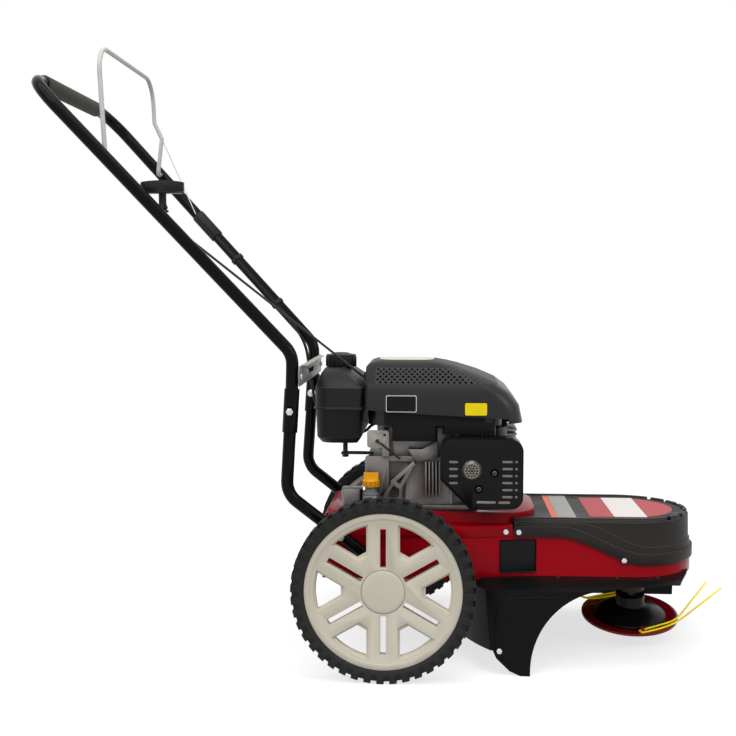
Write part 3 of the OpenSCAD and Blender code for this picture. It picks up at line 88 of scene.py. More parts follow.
class TrimmerSizes(bpy.types.PropertyGroup):
    """Sizes of the fine pieces, in metres"""

    grip_radius: bpy.props.FloatProperty(
        name="Grip radius", description="Radius of the foam grip on the bar",
        default=0.0165, unit="LENGTH")
    edge_small: bpy.props.FloatProperty(
        name="Small edge", description="Edge rounding of the pressed sheet steel",
        default=0.0006, unit="LENGTH")
    edge_large: bpy.props.FloatProperty(
        name="Large edge", description="Edge rounding of the large plastic mouldings",
        default=0.0018, unit="LENGTH")
    panel_lift: bpy.props.FloatProperty(
        name="Panel lift", description="Thickness of the films on the belt cover",
        default=0.0004, unit="LENGTH")
    cover_rim: bpy.props.FloatProperty(
        name="Cover rim", description="Height of the rim round the belt cover's top",
        default=0.003, unit="LENGTH")
    cable_radius: bpy.props.FloatProperty(
        name="Cable radius", description="Radius of the control cable's sheath",
        default=0.00325, unit="LENGTH")
    rope_radius: bpy.props.FloatProperty(
        name="Rope radius", description="Radius of the starter rope",
        default=0.0025, unit="LENGTH")
    wire_radius: bpy.props.FloatProperty(
        name="Wire radius", description="Radius of the wire between bail and cable",
        default=0.0012, unit="LENGTH")


class TrimmerColours(bpy.types.PropertyGroup):
    """Paint and plastic colours, as sRGB hex values"""

    deck_red: bpy.props.StringProperty(
        name="Deck red", description="Powder coat of the deck", default="#8e0010")
    cover: bpy.props.StringProperty(
        name="Belt cover", description="Moulded belt cover", default="#211f1d")
    shield: bpy.props.StringProperty(
        name="Shield", description="Debris shield", default="#0b0b0b")
    engine_black: bpy.props.StringProperty(
        name="Engine black", description="Tank, filter box and the shroud's band", default="#1b1b1d")
    rim: bpy.props.StringProperty(
        name="Rim", description="Moulded wheel rims", default="#c4beae")
    casting: bpy.props.StringProperty(
        name="Casting", description="Engine castings", default="#7d7876")
    line: bpy.props.StringProperty(
        name="Line", description="Trimmer lines", default="#ffe000")
    disc: bpy.props.StringProperty(
        name="Glide disc", description="Moulded glide disc", default="#7a0710")
    bail: bpy.props.StringProperty(
        name="Bail", description="Enamel of the bail", default="#bdbeb9")


def hex_linear(text):
    """sRGB hex to linear RGBA"""
    parts = [int(text[i:i + 2], 16) / 255 for i in (1, 3, 5)]
    return [c / 12.92 if c <= 0.04045 else ((c + 0.055) / 1.055) ** 2.4 for c in parts] + [1.0]


def feed(tree, node, inputs):
    """Sets or links the inputs of a node"""
    for name, value in inputs.items():
        if isinstance(value, bpy.types.NodeSocket):
            tree.links.new(value, node.inputs[name])
        else:
            node.inputs[name].default_value = value


def add(tree, kind, inputs=None, **settings):
    """Adds a node, sets its settings, and sets or links its inputs"""
    made = tree.nodes.new(kind)
    for name, value in settings.items():
        setattr(made, name, value)
    feed(tree, made, inputs or {})
    return made


def new_material(name):
    """Material with an empty tree, its shader and its object coordinates"""
    mat = bpy.data.materials.new(name)
    mat.use_nodes = True
    tree = mat.node_tree
    tree.nodes.clear()
    shader = add(tree, "ShaderNodeBsdfPrincipled")
    add(tree, "ShaderNodeOutputMaterial", {"Surface": shader.outputs["BSDF"]})
    coords = add(tree, "ShaderNodeTexCoord").outputs["Object"]
    return mat, tree, shader, coords


def per_mm(size_mm):
    """Texture scale at which one feature is about this many millimetres wide"""
    return 1000.0 / size_mm


def noise(tree, coords, size_mm, detail, **inputs):
    """Cloudy noise with features about this many millimetres wide"""
    sizes = {"Vector": coords, "Scale": per_mm(size_mm), "Detail": detail}
    return add(tree, "ShaderNodeTexNoise", {**sizes, **inputs}).outputs["Fac"]


def calc(tree, operation, *values):
    """Result of one sum on numbers or sockets"""
    return add(tree, "ShaderNodeMath", dict(enumerate(values)), operation=operation).outputs["Value"]


def ranged(tree, value, start, end, low=0.0, high=1.0):
    """Value carried over from the range start to end to the range low to high"""
    limits = {"From Min": start, "From Max": end, "To Min": low, "To Max": high}
    return add(tree, "ShaderNodeMapRange", {"Value": value, **limits}).outputs["Result"]


def mixed(tree, factor, first, second):
    """Colour that runs from the first to the second"""
    return add(tree, "ShaderNodeMix", {"Factor": factor, 6: first, 7: second}, data_type="RGBA").outputs[2]


def tinted(tree, colour, share, factor):
    """Colour that runs from a darker to a lighter tint of itself"""
    base = hex_linear(colour)
    dark = [c * (1 - share) for c in base[:3]] + [1]
    light = [min(1, c * (1 + share)) for c in base[:3]] + [1]
    return mixed(tree, factor, dark, light)


def relief(tree, shader, height, strength, depth, sunk=False):
    """Adds relief of this depth in metres to a shader, over the relief that it has"""
    inputs = {"Strength": strength, "Distance": depth, "Height": height}
    if shader.inputs["Normal"].is_linked:
        inputs["Normal"] = shader.inputs["Normal"].links[0].from_socket
    bump = add(tree, "ShaderNodeBump", inputs, invert=sunk)
    tree.links.new(bump.outputs["Normal"], shader.inputs["Normal"])


def powder_coat(name, colour, rough=0.22, shine=0.16):
    # Baked powder or enamel on steel: smooth, with a faint orange peel and slow, cloudy changes of tint
    mat, tree, shader, coords = new_material(name)
    cloud = noise(tree, coords, size_mm=90, detail=3)
    feed(tree, shader, {
        "Base Color": tinted(tree, colour, 0.10, cloud),
        "Roughness": ranged(tree, cloud, 0, 1, rough - 0.06, rough + 0.08),
        "Specular IOR Level": shine,
    })
    relief(tree, shader, noise(tree, coords, size_mm=3.5, detail=2), strength=0.012, depth=0.0003)
    return mat


def moulded(name, colour, rough=0.5, grain_mm=1.1, depth=0.00012, strength=0.35, share=0.12, shine=0.14):
    # Injection moulding with a spark-eroded grain, drawn about twice as coarse as real so that it shows
    mat, tree, shader, coords = new_material(name)
    flow = noise(tree, coords, size_mm=60, detail=4)
    feed(tree, shader, {
        "Base Color": tinted(tree, colour, share, flow),
        "Roughness": ranged(tree, flow, 0, 1, rough - 0.07, rough + 0.09),
        "Specular IOR Level": shine,
    })
    relief(tree, shader, noise(tree, coords, size_mm=grain_mm, detail=3), strength, depth)
    return mat


def smooth_moulded(name, colour, rough, strength, share=0.06, shine=0.14, grain_mm=1.4):
    # Moulding from a polished tool: even in colour, with a shallower and wider grain
    return moulded(name, colour, rough, grain_mm, depth=0.0001, strength=strength, share=share, shine=shine)


# Lattice on the shroud, in metres: pitches, the place of one pit, and the heights and rear end of its field
LATTICE_PITCH_X = 0.0115
LATTICE_PITCH_Y = 0.0154
LATTICE_PIT_X = -0.020
LATTICE_PIT_Y = 0.0992
LATTICE_LOW = 0.5635
LATTICE_HIGH = 0.5935
LATTICE_REAR = -0.027
# Distances over which the field sets in at its edges and at its rear end, in metres
EDGE_FADE = 0.001
REAR_FADE = 0.003


def diamond_nylon(name, colour):
    # The shroud's nylon with a pressed diamond lattice, in step with the holes of the grille: the flanks look
    # woven, and only the pits with a real hole are deep. The pits are painted near black as painted shade,
    # and the lattice field is painted lighter as a painted sheen
    mat = moulded(name, colour, 0.44)
    tree = mat.node_tree
    shader = next(item for item in tree.nodes if item.type == "BSDF_PRINCIPLED")
    coords = next(item for item in tree.nodes if item.type == "TEX_COORD").outputs["Object"]
    place = add(tree, "ShaderNodeSeparateXYZ", {"Vector": coords}).outputs
    turn_x = 2 * math.pi / LATTICE_PITCH_X
    turn_y = 2 * math.pi / LATTICE_PITCH_Y
    along = calc(tree, "MULTIPLY_ADD", place["X"], turn_x, -LATTICE_PIT_X * turn_x)
    across = calc(tree, "MULTIPLY_ADD", calc(tree, "ABSOLUTE", place["Y"]), turn_y, -LATTICE_PIT_Y * turn_y)
    rising = calc(tree, "COSINE", calc(tree, "ADD", along, across))
    falling = calc(tree, "COSINE", calc(tree, "SUBTRACT", along, across))
    pit = ranged(tree, calc(tree, "MINIMUM", rising, falling), -0.3, 0.15)
    above = ranged(tree, place["Z"], LATTICE_LOW, LATTICE_LOW + EDGE_FADE)
    below = ranged(tree, place["Z"], LATTICE_HIGH, LATTICE_HIGH - EDGE_FADE)
    ahead = ranged(tree, place["X"], LATTICE_REAR, LATTICE_REAR + REAR_FADE)
    field = calc(tree, "MULTIPLY", calc(tree, "MULTIPLY", above, below), ahead)
    depth = calc(tree, "MULTIPLY", pit, field)
    plain = shader.inputs["Base Color"].links[0].from_socket
    # The lattice field is painted lighter, a painted sheen
    rib_sheen = mixed(tree, field, plain, hex_linear("#302f30"))
    # The pits are painted near black, as painted shade
    feed(tree, shader, {"Base Color": mixed(tree, depth, rib_sheen, hex_linear("#050505"))})
    relief(tree, shader, depth, strength=0.9, depth=0.001, sunk=True)
    return mat


def cast_metal(name, colour, rough=0.42):
    # Cast or heat-dulled metal: a dull skin with a sandy grain, darkened in corners with painted shade
    mat, tree, shader, coords = new_material(name)
    stain = noise(tree, coords, size_mm=38, detail=5, Roughness=0.6)
    # Painted shade: the colour darkens where the surface is occluded
    corner = add(tree, "ShaderNodeAmbientOcclusion", {"Distance": 0.03}, samples=8).outputs["AO"]
    painted_shade = [c * 0.16 for c in hex_linear(colour)[:3]] + [1]
    skin = tinted(tree, colour, 0.3, stain)
    feed(tree, shader, {
        "Base Color": mixed(tree, ranged(tree, corner, 0.35, 0.95), painted_shade, skin),
        "Roughness": ranged(tree, stain, 0, 1, rough + 0.1, rough - 0.1),
        "Metallic": 0.9,
    })
    relief(tree, shader, noise(tree, coords, size_mm=1.6, detail=4), strength=0.3, depth=0.0003)
    return mat


def plated_steel(name, colour="#c3c6c8", rough=0.3):
    # Plated, bare or blackened steel: clean metal with a faint cloudy bloom
    mat, tree, shader, coords = new_material(name)
    bloom = noise(tree, coords, size_mm=9, detail=4)
    feed(tree, shader, {
        "Base Color": tinted(tree, colour, 0.12, bloom),
        "Roughness": ranged(tree, bloom, 0, 1, rough - 0.08, rough + 0.12),
        "Metallic": 1.0,
    })
    return mat


# Lugs in each of a tyre's two rows, and the share of the pitch that a lug takes
LUGS = 44
LUG_SHARE = 0.56
# Radii between which a tyre's shoulder starts, and the pitch of the rings on its sidewall, in metres
SHOULDER_START = 0.159
SHOULDER_FULL = 0.164
RING_PITCH = 0.0035


def tread_rubber(name, colour, centre):
    # Vulcanised rubber: matt, a little grey with dust, with fine mould rings round the sidewall; the lugs run
    # on over the shoulder, with painted shade in the grooves between them
    mat, tree, shader, coords = new_material(name)
    spoke = add(tree, "ShaderNodeVectorMath", {0: coords, 1: centre}, operation="SUBTRACT").outputs["Vector"]
    disc = add(tree, "ShaderNodeVectorMath", {0: spoke, 1: (1, 0, 1)}, operation="MULTIPLY").outputs["Vector"]
    radius = add(tree, "ShaderNodeVectorMath", {0: disc}, operation="LENGTH").outputs["Value"]
    rings = calc(tree, "SINE", calc(tree, "MULTIPLY", radius, 2 * math.pi / RING_PITCH))
    place = add(tree, "ShaderNodeSeparateXYZ", {"Vector": spoke}).outputs
    # The lugs of the inner row stand half a pitch on from those of the outer row
    side = math.copysign(1, centre[1])
    inner = calc(tree, "LESS_THAN" if side > 0 else "GREATER_THAN", place["Y"], 0.0)
    start = calc(tree, "MULTIPLY_ADD", inner, math.pi, side * math.pi * LUG_SHARE)
    angle = calc(tree, "ARCTAN2", place["Z"], place["X"])
    lug = calc(tree, "COSINE", calc(tree, "MULTIPLY_ADD", angle, LUGS, start))
    shoulder = ranged(tree, radius, SHOULDER_START, SHOULDER_FULL)
    groove_and_shade = calc(tree, "MULTIPLY", ranged(tree, lug, -0.1, 0.25), shoulder)
    dust = noise(tree, coords, size_mm=22, detail=5)
    feed(tree, shader, {
        # The grooves are painted near black, as painted shade
        "Base Color": mixed(tree, groove_and_shade, tinted(tree, colour, 0.3, dust), hex_linear("#070707")),
        "Roughness": ranged(tree, dust, 0, 1, 0.62, 0.8),
        "Specular IOR Level": 0.25,
    })
    skin = calc(tree, "MULTIPLY_ADD", rings, 0.35, noise(tree, coords, size_mm=1.4, detail=2))
    relief(tree, shader, skin, strength=0.3, depth=0.0003)
    relief(tree, shader, groove_and_shade, strength=0.6, depth=0.0015, sunk=True)
    return mat


def eva_foam(name, colour):
    # Closed-cell foam sleeve: no gloss, small open pits in the skin
    mat, tree, shader, coords = new_material(name)
    cells = add(tree, "ShaderNodeTexVoronoi", {"Vector": coords, "Scale": per_mm(1.8)}).outputs["Distance"]
    feed(tree, shader, {
        "Base Color": tinted(tree, colour, 0.22, noise(tree, coords, size_mm=30, detail=4)),
        "Roughness": 0.9,
    })
    relief(tree, shader, cells, strength=0.5, depth=0.0004)
    return mat


def film(name, colour, rough=0.35):
    # Plain film or glaze: an even satin colour with a slight ripple
    mat, tree, shader, coords = new_material(name)
    ripple = noise(tree, coords, size_mm=14, detail=2)
    feed(tree, shader, {
        "Base Color": tinted(tree, colour, 0.06, ripple),
        "Roughness": rough,
        "Specular IOR Level": 0.14,
    })
    relief(tree, shader, ripple, strength=0.05, depth=0.0003)
    return mat


def drawn_nylon(name, colour):
    # Drawn nylon line: clear gloss, with light that spreads inside it; it glows a little as painted light, so
    # the line stays bright in shade
    mat, tree, shader, coords = new_material(name)
    feed(tree, shader, {
        "Base Color": tinted(tree, colour, 0.15, noise(tree, coords, size_mm=6, detail=2)),
        "Roughness": 0.28,
        "Subsurface Weight": 0.4,
        "Subsurface Scale": 0.003,
        "Emission Color": hex_linear(colour),
        "Emission Strength": 0.14,
    })
    return mat


def braided(name, colour):
    # Braided cord: the lay is drawn as a fine diamond of two crossing waves
    mat, tree, shader, coords = new_material(name)
    strand = {"Vector": coords, "Scale": per_mm(14), "Distortion": 0.6}
    waves = [add(tree, "ShaderNodeTexWave", strand, bands_direction=axis).outputs["Fac"]
             for axis in ("DIAGONAL", "Z")]
    lay = calc(tree, "MAXIMUM", *waves)
    feed(tree, shader, {"Base Color": tinted(tree, colour, 0.3, lay), "Roughness": 0.75})
    relief(tree, shader, lay, strength=0.4, depth=0.0005)
    return mat


MATERIALS = {}


def material(key):
    """Material by its working name, made when it is first asked for"""
    if key not in MATERIALS:
        tint = bpy.context.scene.trimmer_colours
        # The first number of each finish is its roughness
        makers = {
            "red": lambda: powder_coat("Powder coated steel red", tint.deck_red, shine=0.09),
            "gloss_black": lambda: powder_coat("Enamelled steel tube black", "#0a0a09", 0.14, shine=0.08),
            "guard_black": lambda: powder_coat("Heat-proof enamel black", "#0d0c0d", 0.3, shine=0.12),
            # Painted highlight for the guard's rounded edges
            "enamel_highlight": lambda: powder_coat("Heat-proof enamel, painted edge highlight", "#454345", 0.25, shine=0.3),
            # Painted shade in the wells of the guard's screws
            "well_shade": lambda: powder_coat("Enamel, painted shade of the wells", "#040404", 0.6, shine=0.05),
            "bail": lambda: powder_coat("Enamelled steel rod pale", tint.bail, 0.34),
            # Grey stands for a painted reflection of the bright surround on black enamel
            "brace": lambda: powder_coat("Enamelled steel plate, grey as painted reflection", "#8d8d88", 0.4),
            "cover": lambda: moulded("Polypropylene cover grey", tint.cover, 0.46),
            # Painted highlight for the cover's rounded edges
            "cover_edge": lambda: moulded("Polypropylene cover, painted edge highlight", "#56534f", 0.4),
            "shield": lambda: moulded(
                "Polyethylene shield black", tint.shield, 0.36, grain_mm=1.6, shine=0.08),
            "engine": lambda: moulded("Glass-filled nylon black", tint.engine_black, 0.44),
            # The dome's base is a shade darker than the band's, as painted shade
            "shroud": lambda: diamond_nylon("Glass-filled nylon with diamond lattice", "#151516"),
            "nylon_gloss": lambda: moulded(
                "Glass-filled nylon, polished", tint.engine_black, 0.34, shine=0.26),
            # Painted highlight for the nylon mouldings' rounded edges
            "nylon_highlight": lambda: moulded("Glass-filled nylon, painted edge highlight", "#434244", 0.4),
            # Darker nylon standing for painted shade on the recessed skirt
            "nylon_shade": lambda: moulded("Glass-filled nylon, matt, painted shade", "#0b0b0b", 0.6),
            "knob": lambda: moulded("Moulded nylon black", "#19191a", 0.4),
            "belt": lambda: moulded("Fabric-backed rubber belt", "#232323", 0.8, grain_mm=1.0),
            "rim": lambda: smooth_moulded(
                "Polypropylene rim cream", tint.rim, 0.42, strength=0.25, share=0.05, grain_mm=1.2),
            "disc": lambda: smooth_moulded(
                "Moulded nylon dark red", tint.disc, 0.16, strength=0.08, share=0.12, shine=0.3),
            "hub": lambda: smooth_moulded(
                "Moulded nylon hub black", "#0d0c0c", 0.3, strength=0.2, share=0.12),
            "dipstick": lambda: smooth_moulded("Moulded nylon yellow", "#d2930f", 0.32, strength=0.15),
            "tube_grey": lambda: smooth_moulded("Moulded nylon grey", "#6c7172", 0.3, strength=0.15),
            "inset": lambda: smooth_moulded(
                "Moulded nylon pale inset", "#c3beb2", 0.4, strength=0.2, grain_mm=1.2),
            "sheath": lambda: smooth_moulded(
                "PVC cable sheath", "#141414", 0.38, strength=0.1, share=0.12, grain_mm=2.0),
            "casting": lambda: cast_metal("Die-cast aluminium", tint.casting),
            # Casting painted dark, as painted shade
            "dark_casting": lambda: cast_metal("Casting darkened with painted shade", "#3a3634", 0.5),
            "muffler": lambda: cast_metal("Heat-dulled sheet steel", "#6f6a64"),
            # Painted highlight for the castings' rounded edges
            "casting_highlight": lambda: plated_steel("Casting edge, painted highlight", "#c4c0bb", 0.34),
            "liner": lambda: plated_steel("Bare sheet steel", "#7d7873", 0.5),
            "zinc": lambda: plated_steel("Zinc plated steel"),
            "bracket": lambda: plated_steel("Rolled sheet steel", "#8f8b86", 0.5),
            "oxide": lambda: plated_steel("Black oxide steel", "#35332f", 0.42),
            "foam": lambda: eva_foam("EVA foam grip", "#3b3832"),
            "line": lambda: drawn_nylon("Drawn nylon line", tint.line),
            "rope": lambda: braided("Braided polyester rope", "#1a1a1a"),
            "ceramic": lambda: film("Glazed ceramic", "#e6e4de", 0.15),
            "film_red": lambda: film("Plain film red", "#9c0f1c"),
            "film_pale": lambda: film("Plain film pale", "#cfcac6"),
            "film_orange": lambda: film("Plain film orange", "#d9552a"),
            "film_grey": lambda: film("Plain film grey", "#8d8b87"),
            "film_black": lambda: film("Plain film black", "#080808"),
            "film_yellow": lambda: film("Plain film yellow", "#e8cf12"),
        }
        MATERIALS[key] = makers[key]()
    return MATERIALS[key]


def only(obj):
    """Selects this object alone and makes it active"""
    bpy.ops.object.select_all(action="DESELECT")
    obj.select_set(True)
    bpy.context.view_layer.objects.active = obj


def clear_picks():
    """Deselects everything in the active mesh"""
    bpy.ops.object.mode_set(mode="EDIT")
    bpy.ops.mesh.select_all(action="DESELECT")
    bpy.ops.object.mode_set(mode="OBJECT")


def middle(low, high):
    """Middle of a box"""
    return tuple((low[i] + high[i]) / 2 for i in range(3))


def body_of(node):
    """Body that carries a solid"""
    return NODES[node]["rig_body"]


def settle(obj, name, finish, body, smooth=35):
    """Names a piece, puts its place in its mesh, and gives it its body and, where one is named, its finish"""
    only(obj)
    obj.name = name
    obj.data.name = name
    bpy.ops.object.transform_apply(location=True, rotation=True, scale=True)
    bpy.ops.object.shade_smooth_by_angle(angle=math.radians(smooth))
    if finish:
        obj.data.materials.clear()
        obj.data.materials.append(material(finish))
    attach(obj, body)
    return obj


def stands_for(node):
    """Hides a solid that a piece now stands for"""
    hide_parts(node)


def dress(node, finish, edge=0.0, limit=32, smooth=38, edge_highlight=None):
    """Copy that stands for a solid, with its triangles merged and, where asked, its edges rounded and given a
    painted highlight
    """
    copy = bpy.data.objects.new(node + "_skin", NODES[node].data.copy())
    bpy.context.scene.collection.objects.link(copy)
    only(copy)
    bpy.ops.object.mode_set(mode="EDIT")
    bpy.ops.mesh.select_all(action="SELECT")
    bpy.ops.mesh.remove_doubles(threshold=0.00001)
    bpy.ops.mesh.dissolve_limited(angle_limit=math.radians(0.6))
    bpy.ops.mesh.select_all(action="DESELECT")
    bpy.ops.object.mode_set(mode="OBJECT")
    if copy.data.has_custom_normals:
        bpy.ops.mesh.customdata_custom_splitnormals_clear()
    copy.data.materials.clear()
    copy.data.materials.append(material(finish))
    if edge_highlight:
        copy.data.materials.append(material(edge_highlight))
    if edge:
        bevel = copy.modifiers.new("Edge", "BEVEL")
        bevel.width = edge
        bevel.segments = 2
        bevel.limit_method = "ANGLE"
        bevel.angle_limit = math.radians(limit)
        bevel.use_clamp_overlap = True
        # The rounded edges take the lighter finish, a painted highlight
        bevel.material = HIGHLIGHTED_EDGE if edge_highlight else -1
        bpy.ops.object.modifier_apply(modifier="Edge")
    settle(copy, node + "_skin", None, body_of(node), smooth)
    stands_for(node)
    return copy


def repaint(obj, finish, chosen):
    """Gives the faces that a test picks another finish"""
    obj.data.materials.append(material(finish))
    slot = len(obj.data.materials) - 1
    for face in obj.data.polygons:
        if chosen(face):
            face.material_index = slot


def tube_along(name, points, radius, finish, body=None, smooth_bends=False, smooth=40):
    """Round cord along a route, made as a curve and turned into a mesh"""
    data = bpy.data.curves.new(name, "CURVE")
    data.dimensions = "3D"
    data.bevel_depth = radius
    data.bevel_resolution = 3
    data.use_fill_caps = True
    data.resolution_u = 8
    spline = data.splines.new("NURBS" if smooth_bends else "POLY")
    spline.points.add(len(points) - 1)
    for place, point in zip(points, spline.points):
        point.co = (*place, 1)
    if smooth_bends:
        spline.order_u = 3
        spline.use_endpoint_u = True
    obj = bpy.data.objects.new(name, data)
    bpy.context.scene.collection.objects.link(obj)
    only(obj)
    bpy.ops.object.convert(target="MESH")
    obj = bpy.context.object
    # A cord given no body is left without one
    if body is None:
        obj.name = name
        bpy.ops.object.shade_smooth_by_angle(angle=math.radians(smooth))
        obj.data.materials.append(material(finish))
        return obj
    return settle(obj, name, finish, body, smooth)


def plate(name, size, place, finish, body, turn=(0, 0, 0), corner=0.003):
    """Thin plate with round corners; its thickness is along its own Z"""
    bpy.ops.object.select_all(action="DESELECT")
    bpy.ops.mesh.primitive_cube_add(size=1)
    obj = bpy.context.object
    obj.scale = size
    bpy.ops.object.transform_apply(scale=True)
    clear_picks()
    for edge in obj.data.edges:
        a, b = (obj.data.vertices[v].co for v in edge.vertices)
        edge.select = abs(a.z - b.z) > size[2] / 2
    bpy.ops.object.mode_set(mode="EDIT")
    bpy.ops.mesh.select_mode(type="EDGE")
    bpy.ops.mesh.bevel(offset=corner, segments=5, affect="EDGES")
    bpy.ops.object.mode_set(mode="OBJECT")
    obj.rotation_euler = turn
    obj.location = place
    return settle(obj, name, finish, body)


# Studio: floor size in metres, and how much white the floor gives the eye and the surround gives the surfaces
FLOOR_SIZE = 300
FLOOR_LIFT = 0.7
SURROUND_LIGHT = 0.42
WHITE = (1, 1, 1, 1)
# Name, place, size in metres and power in watts of each softbox, and the point that they light
SOFTBOXES = (
    ("softbox_top", (0.2, -0.5, 2.8), 1.6, 16),
    ("softbox_near", (-1.4, -2.6, 2.2), 1.2, 9),
    ("softbox_front", (2.4, -1.6, 1.8), 1.0, 18),
)
SOFTBOX_AIM = (0, 0, 0.4)
# Ceiling light: how it is turned, its strength, and how broad it looks
CEILING_TURN = (math.radians(28), math.radians(-12), 0)
CEILING_LIGHT = 2.2
CEILING_SPREAD = math.radians(70)
# Camera: focal length and picture width in pixels, place in metres, and the direction it stands in
FOCAL_PX = 1138
PICTURE_PX = 736
SENSOR_MM = 36
CAMERA_PLACE = (0.10997, -2.42541, 0.76645)
CAMERA_AZIMUTH = math.radians(3.72)
CAMERA_ELEVATION = math.radians(4.27)


def seen_directly(tree):
    """1 for rays of the eye, of a reflection or through glass, and 0 for light that falls on a surface"""
    path = add(tree, "ShaderNodeLightPath").outputs
    eye = calc(tree, "MAXIMUM", path["Is Camera Ray"], path["Is Glossy Ray"])
    return calc(tree, "MAXIMUM", eye, path["Is Transmission Ray"])


def lay_floor():
    """Lays the paper floor, lifted to white for the eye and for reflections alone, so it keeps its shadow"""
    bpy.ops.object.select_all(action="DESELECT")
    bpy.ops.mesh.primitive_plane_add(size=FLOOR_SIZE)
    floor = bpy.context.object
    floor.name = "studio_floor"
    mat, tree, shader = new_material("Matt studio paper")[:3]
    feed(tree, shader, {
        "Base Color": hex_linear("#969696"),
        "Roughness": 0.9,
        "Emission Color": WHITE,
        "Emission Strength": calc(tree, "MULTIPLY", seen_directly(tree), FLOOR_LIFT),
    })
    floor.data.materials.append(mat)


def light_studio(scene):
    """Sets a white surround, the softboxes and a broad, soft ceiling light"""
    world = bpy.data.worlds.new("Studio")
    scene.world = world
    world.use_nodes = True
    tree = world.node_tree
    tree.nodes.clear()
    strength = ranged(tree, seen_directly(tree), 0, 1, SURROUND_LIGHT, 1.0)
    back = add(tree, "ShaderNodeBackground", {"Color": WHITE, "Strength": strength})
    add(tree, "ShaderNodeOutputWorld", {"Surface": back.outputs["Background"]})
    for name, place, size, power in SOFTBOXES:
        bpy.ops.object.light_add(type="AREA", location=place)
        lamp = bpy.context.object
        lamp.name = name
        lamp.data.shape = "SQUARE"
        lamp.data.size = size
        lamp.data.energy = power
        aim = Vector(SOFTBOX_AIM) - Vector(place)
        lamp.rotation_euler = aim.to_track_quat("-Z", "Y").to_euler()
    bpy.ops.object.light_add(type="SUN", rotation=CEILING_TURN)
    ceiling = bpy.context.object
    ceiling.name = "studio_ceiling"
    ceiling.data.energy = CEILING_LIGHT
    ceiling.data.angle = CEILING_SPREAD


def set_camera(scene):
    """Sets the camera where the photograph was taken from"""
    cam = bpy.data.cameras.new("Camera")
    cam.lens = SENSOR_MM * FOCAL_PX / PICTURE_PX
    cam.sensor_width = SENSOR_MM
    eye = bpy.data.objects.new("Camera", cam)
    scene.collection.objects.link(eye)
    level = math.cos(CAMERA_ELEVATION)
    back = Vector((
        math.sin(CAMERA_AZIMUTH) * level, -math.cos(CAMERA_AZIMUTH) * level, math.sin(CAMERA_ELEVATION)))
    eye.location = CAMERA_PLACE
    eye.rotation_euler = (-back).to_track_quat("-Z", "Y").to_euler()
    scene.camera = eye


class TRIMMER_OT_stage(bpy.types.Operator):
    """Makes the pale floor, the soft studio light and the camera"""

    bl_idname = "trimmer.stage"
    bl_label = "Stage"

    def execute(self, context):
        lay_floor()
        light_studio(context.scene)
        set_camera(context.scene)
        context.scene.view_settings.view_transform = "Standard"
        return {"FINISHED"}


class TRIMMER_OT_wheels(bpy.types.Operator):
    """Dresses the tyres, the rims, their caps and the axle"""

    bl_idname = "trimmer.wheels"
    bl_label = "Wheels"

    def execute(self, context):
        for side in ("right", "left"):
            low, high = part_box("tyre_" + side)
            key = "tyre_" + side
            MATERIALS[key] = tread_rubber("Tread rubber " + side, "#1a1a19", middle(low, high))
            dress("tyre_" + side, key)
            dress("rim_" + side, "rim", edge=0.0016)
            dress("hub_cap_" + side, "rim", edge=0.0008)
        dress("axle", "zinc", edge=0.0008)
        dress("axle_retainers", "zinc", edge=0.0004)
        return {"FINISHED"}


# Nameplate on the deck's near side, in metres, and the side's taper: millimetres inwards and along
DECK_PLATE_SIZE = (0.0745, 0.0674, 0.0008)
DECK_PLATE_PLACE = (0.26475, -0.14873, 0.2171)
TAPER_IN = 21
TAPER_ALONG = 125


class TRIMMER_OT_deck(bpy.types.Operator):
    """Dresses the pressed deck and the engine deck and adds the bare nameplate"""

    bl_idname = "trimmer.deck"
    bl_label = "Deck"

    def execute(self, context):
        sizes = context.scene.trimmer_sizes
        for node in ("deck", "engine_deck", "axle_brackets"):
            dress(node, "red", sizes.edge_small)
        dress("deck_bolts", "zinc", edge=0.0005)
        turn = (math.radians(90), 0, math.atan2(TAPER_IN, TAPER_ALONG))
        plate("deck_plate", DECK_PLATE_SIZE, DECK_PLATE_PLACE, "film_black", body_of("deck"), turn)
        return {"FINISHED"}


# Large film on the belt cover, in metres: radius of its round front, where that is centred, and how far its
# straight rear edge lies behind that
PANEL_RADIUS = 0.105
PANEL_X = 0.492
PANEL_TAIL = 0.078
# How far behind the middle the points start that are drawn back
PANEL_REAR = 0.001
# Name, finish, length, width, x and height of the middle in film thicknesses of each strip of film
COVER_STRIPS = (
    ("cover_band", "film_pale", 0.067, 0.206, 0.4965, 1.5),
    ("cover_strip", "film_orange", 0.012, 0.246, 0.341, 0.5),
    ("cover_label", "film_grey", 0.038, 0.246, 0.3665, 0.5),
)


def lay_panel(top, lift, body):
    """Lays the large film: a disc with its rear half drawn back to a straight edge"""
    centre = (PANEL_X, 0, top)
    bpy.ops.object.select_all(action="DESELECT")
    bpy.ops.mesh.primitive_circle_add(vertices=64, radius=PANEL_RADIUS, fill_type="NGON", location=centre)
    panel = bpy.context.object
    clear_picks()
    for vertex in panel.data.vertices:
        vertex.select = vertex.co.x < -PANEL_REAR
    bpy.ops.object.mode_set(mode="EDIT")
    bpy.ops.transform.resize(value=(0, 1, 1), center_override=centre)
    bpy.ops.transform.translate(value=(-PANEL_TAIL, 0, 0))
    bpy.ops.mesh.select_all(action="SELECT")
    bpy.ops.mesh.extrude_region_move(TRANSFORM_OT_translate={"value": (0, 0, lift)})
    bpy.ops.mesh.select_all(action="SELECT")
    bpy.ops.mesh.normals_make_consistent(inside=False)
    bpy.ops.object.mode_set(mode="OBJECT")
    settle(panel, "cover_panel", "film_red", body)


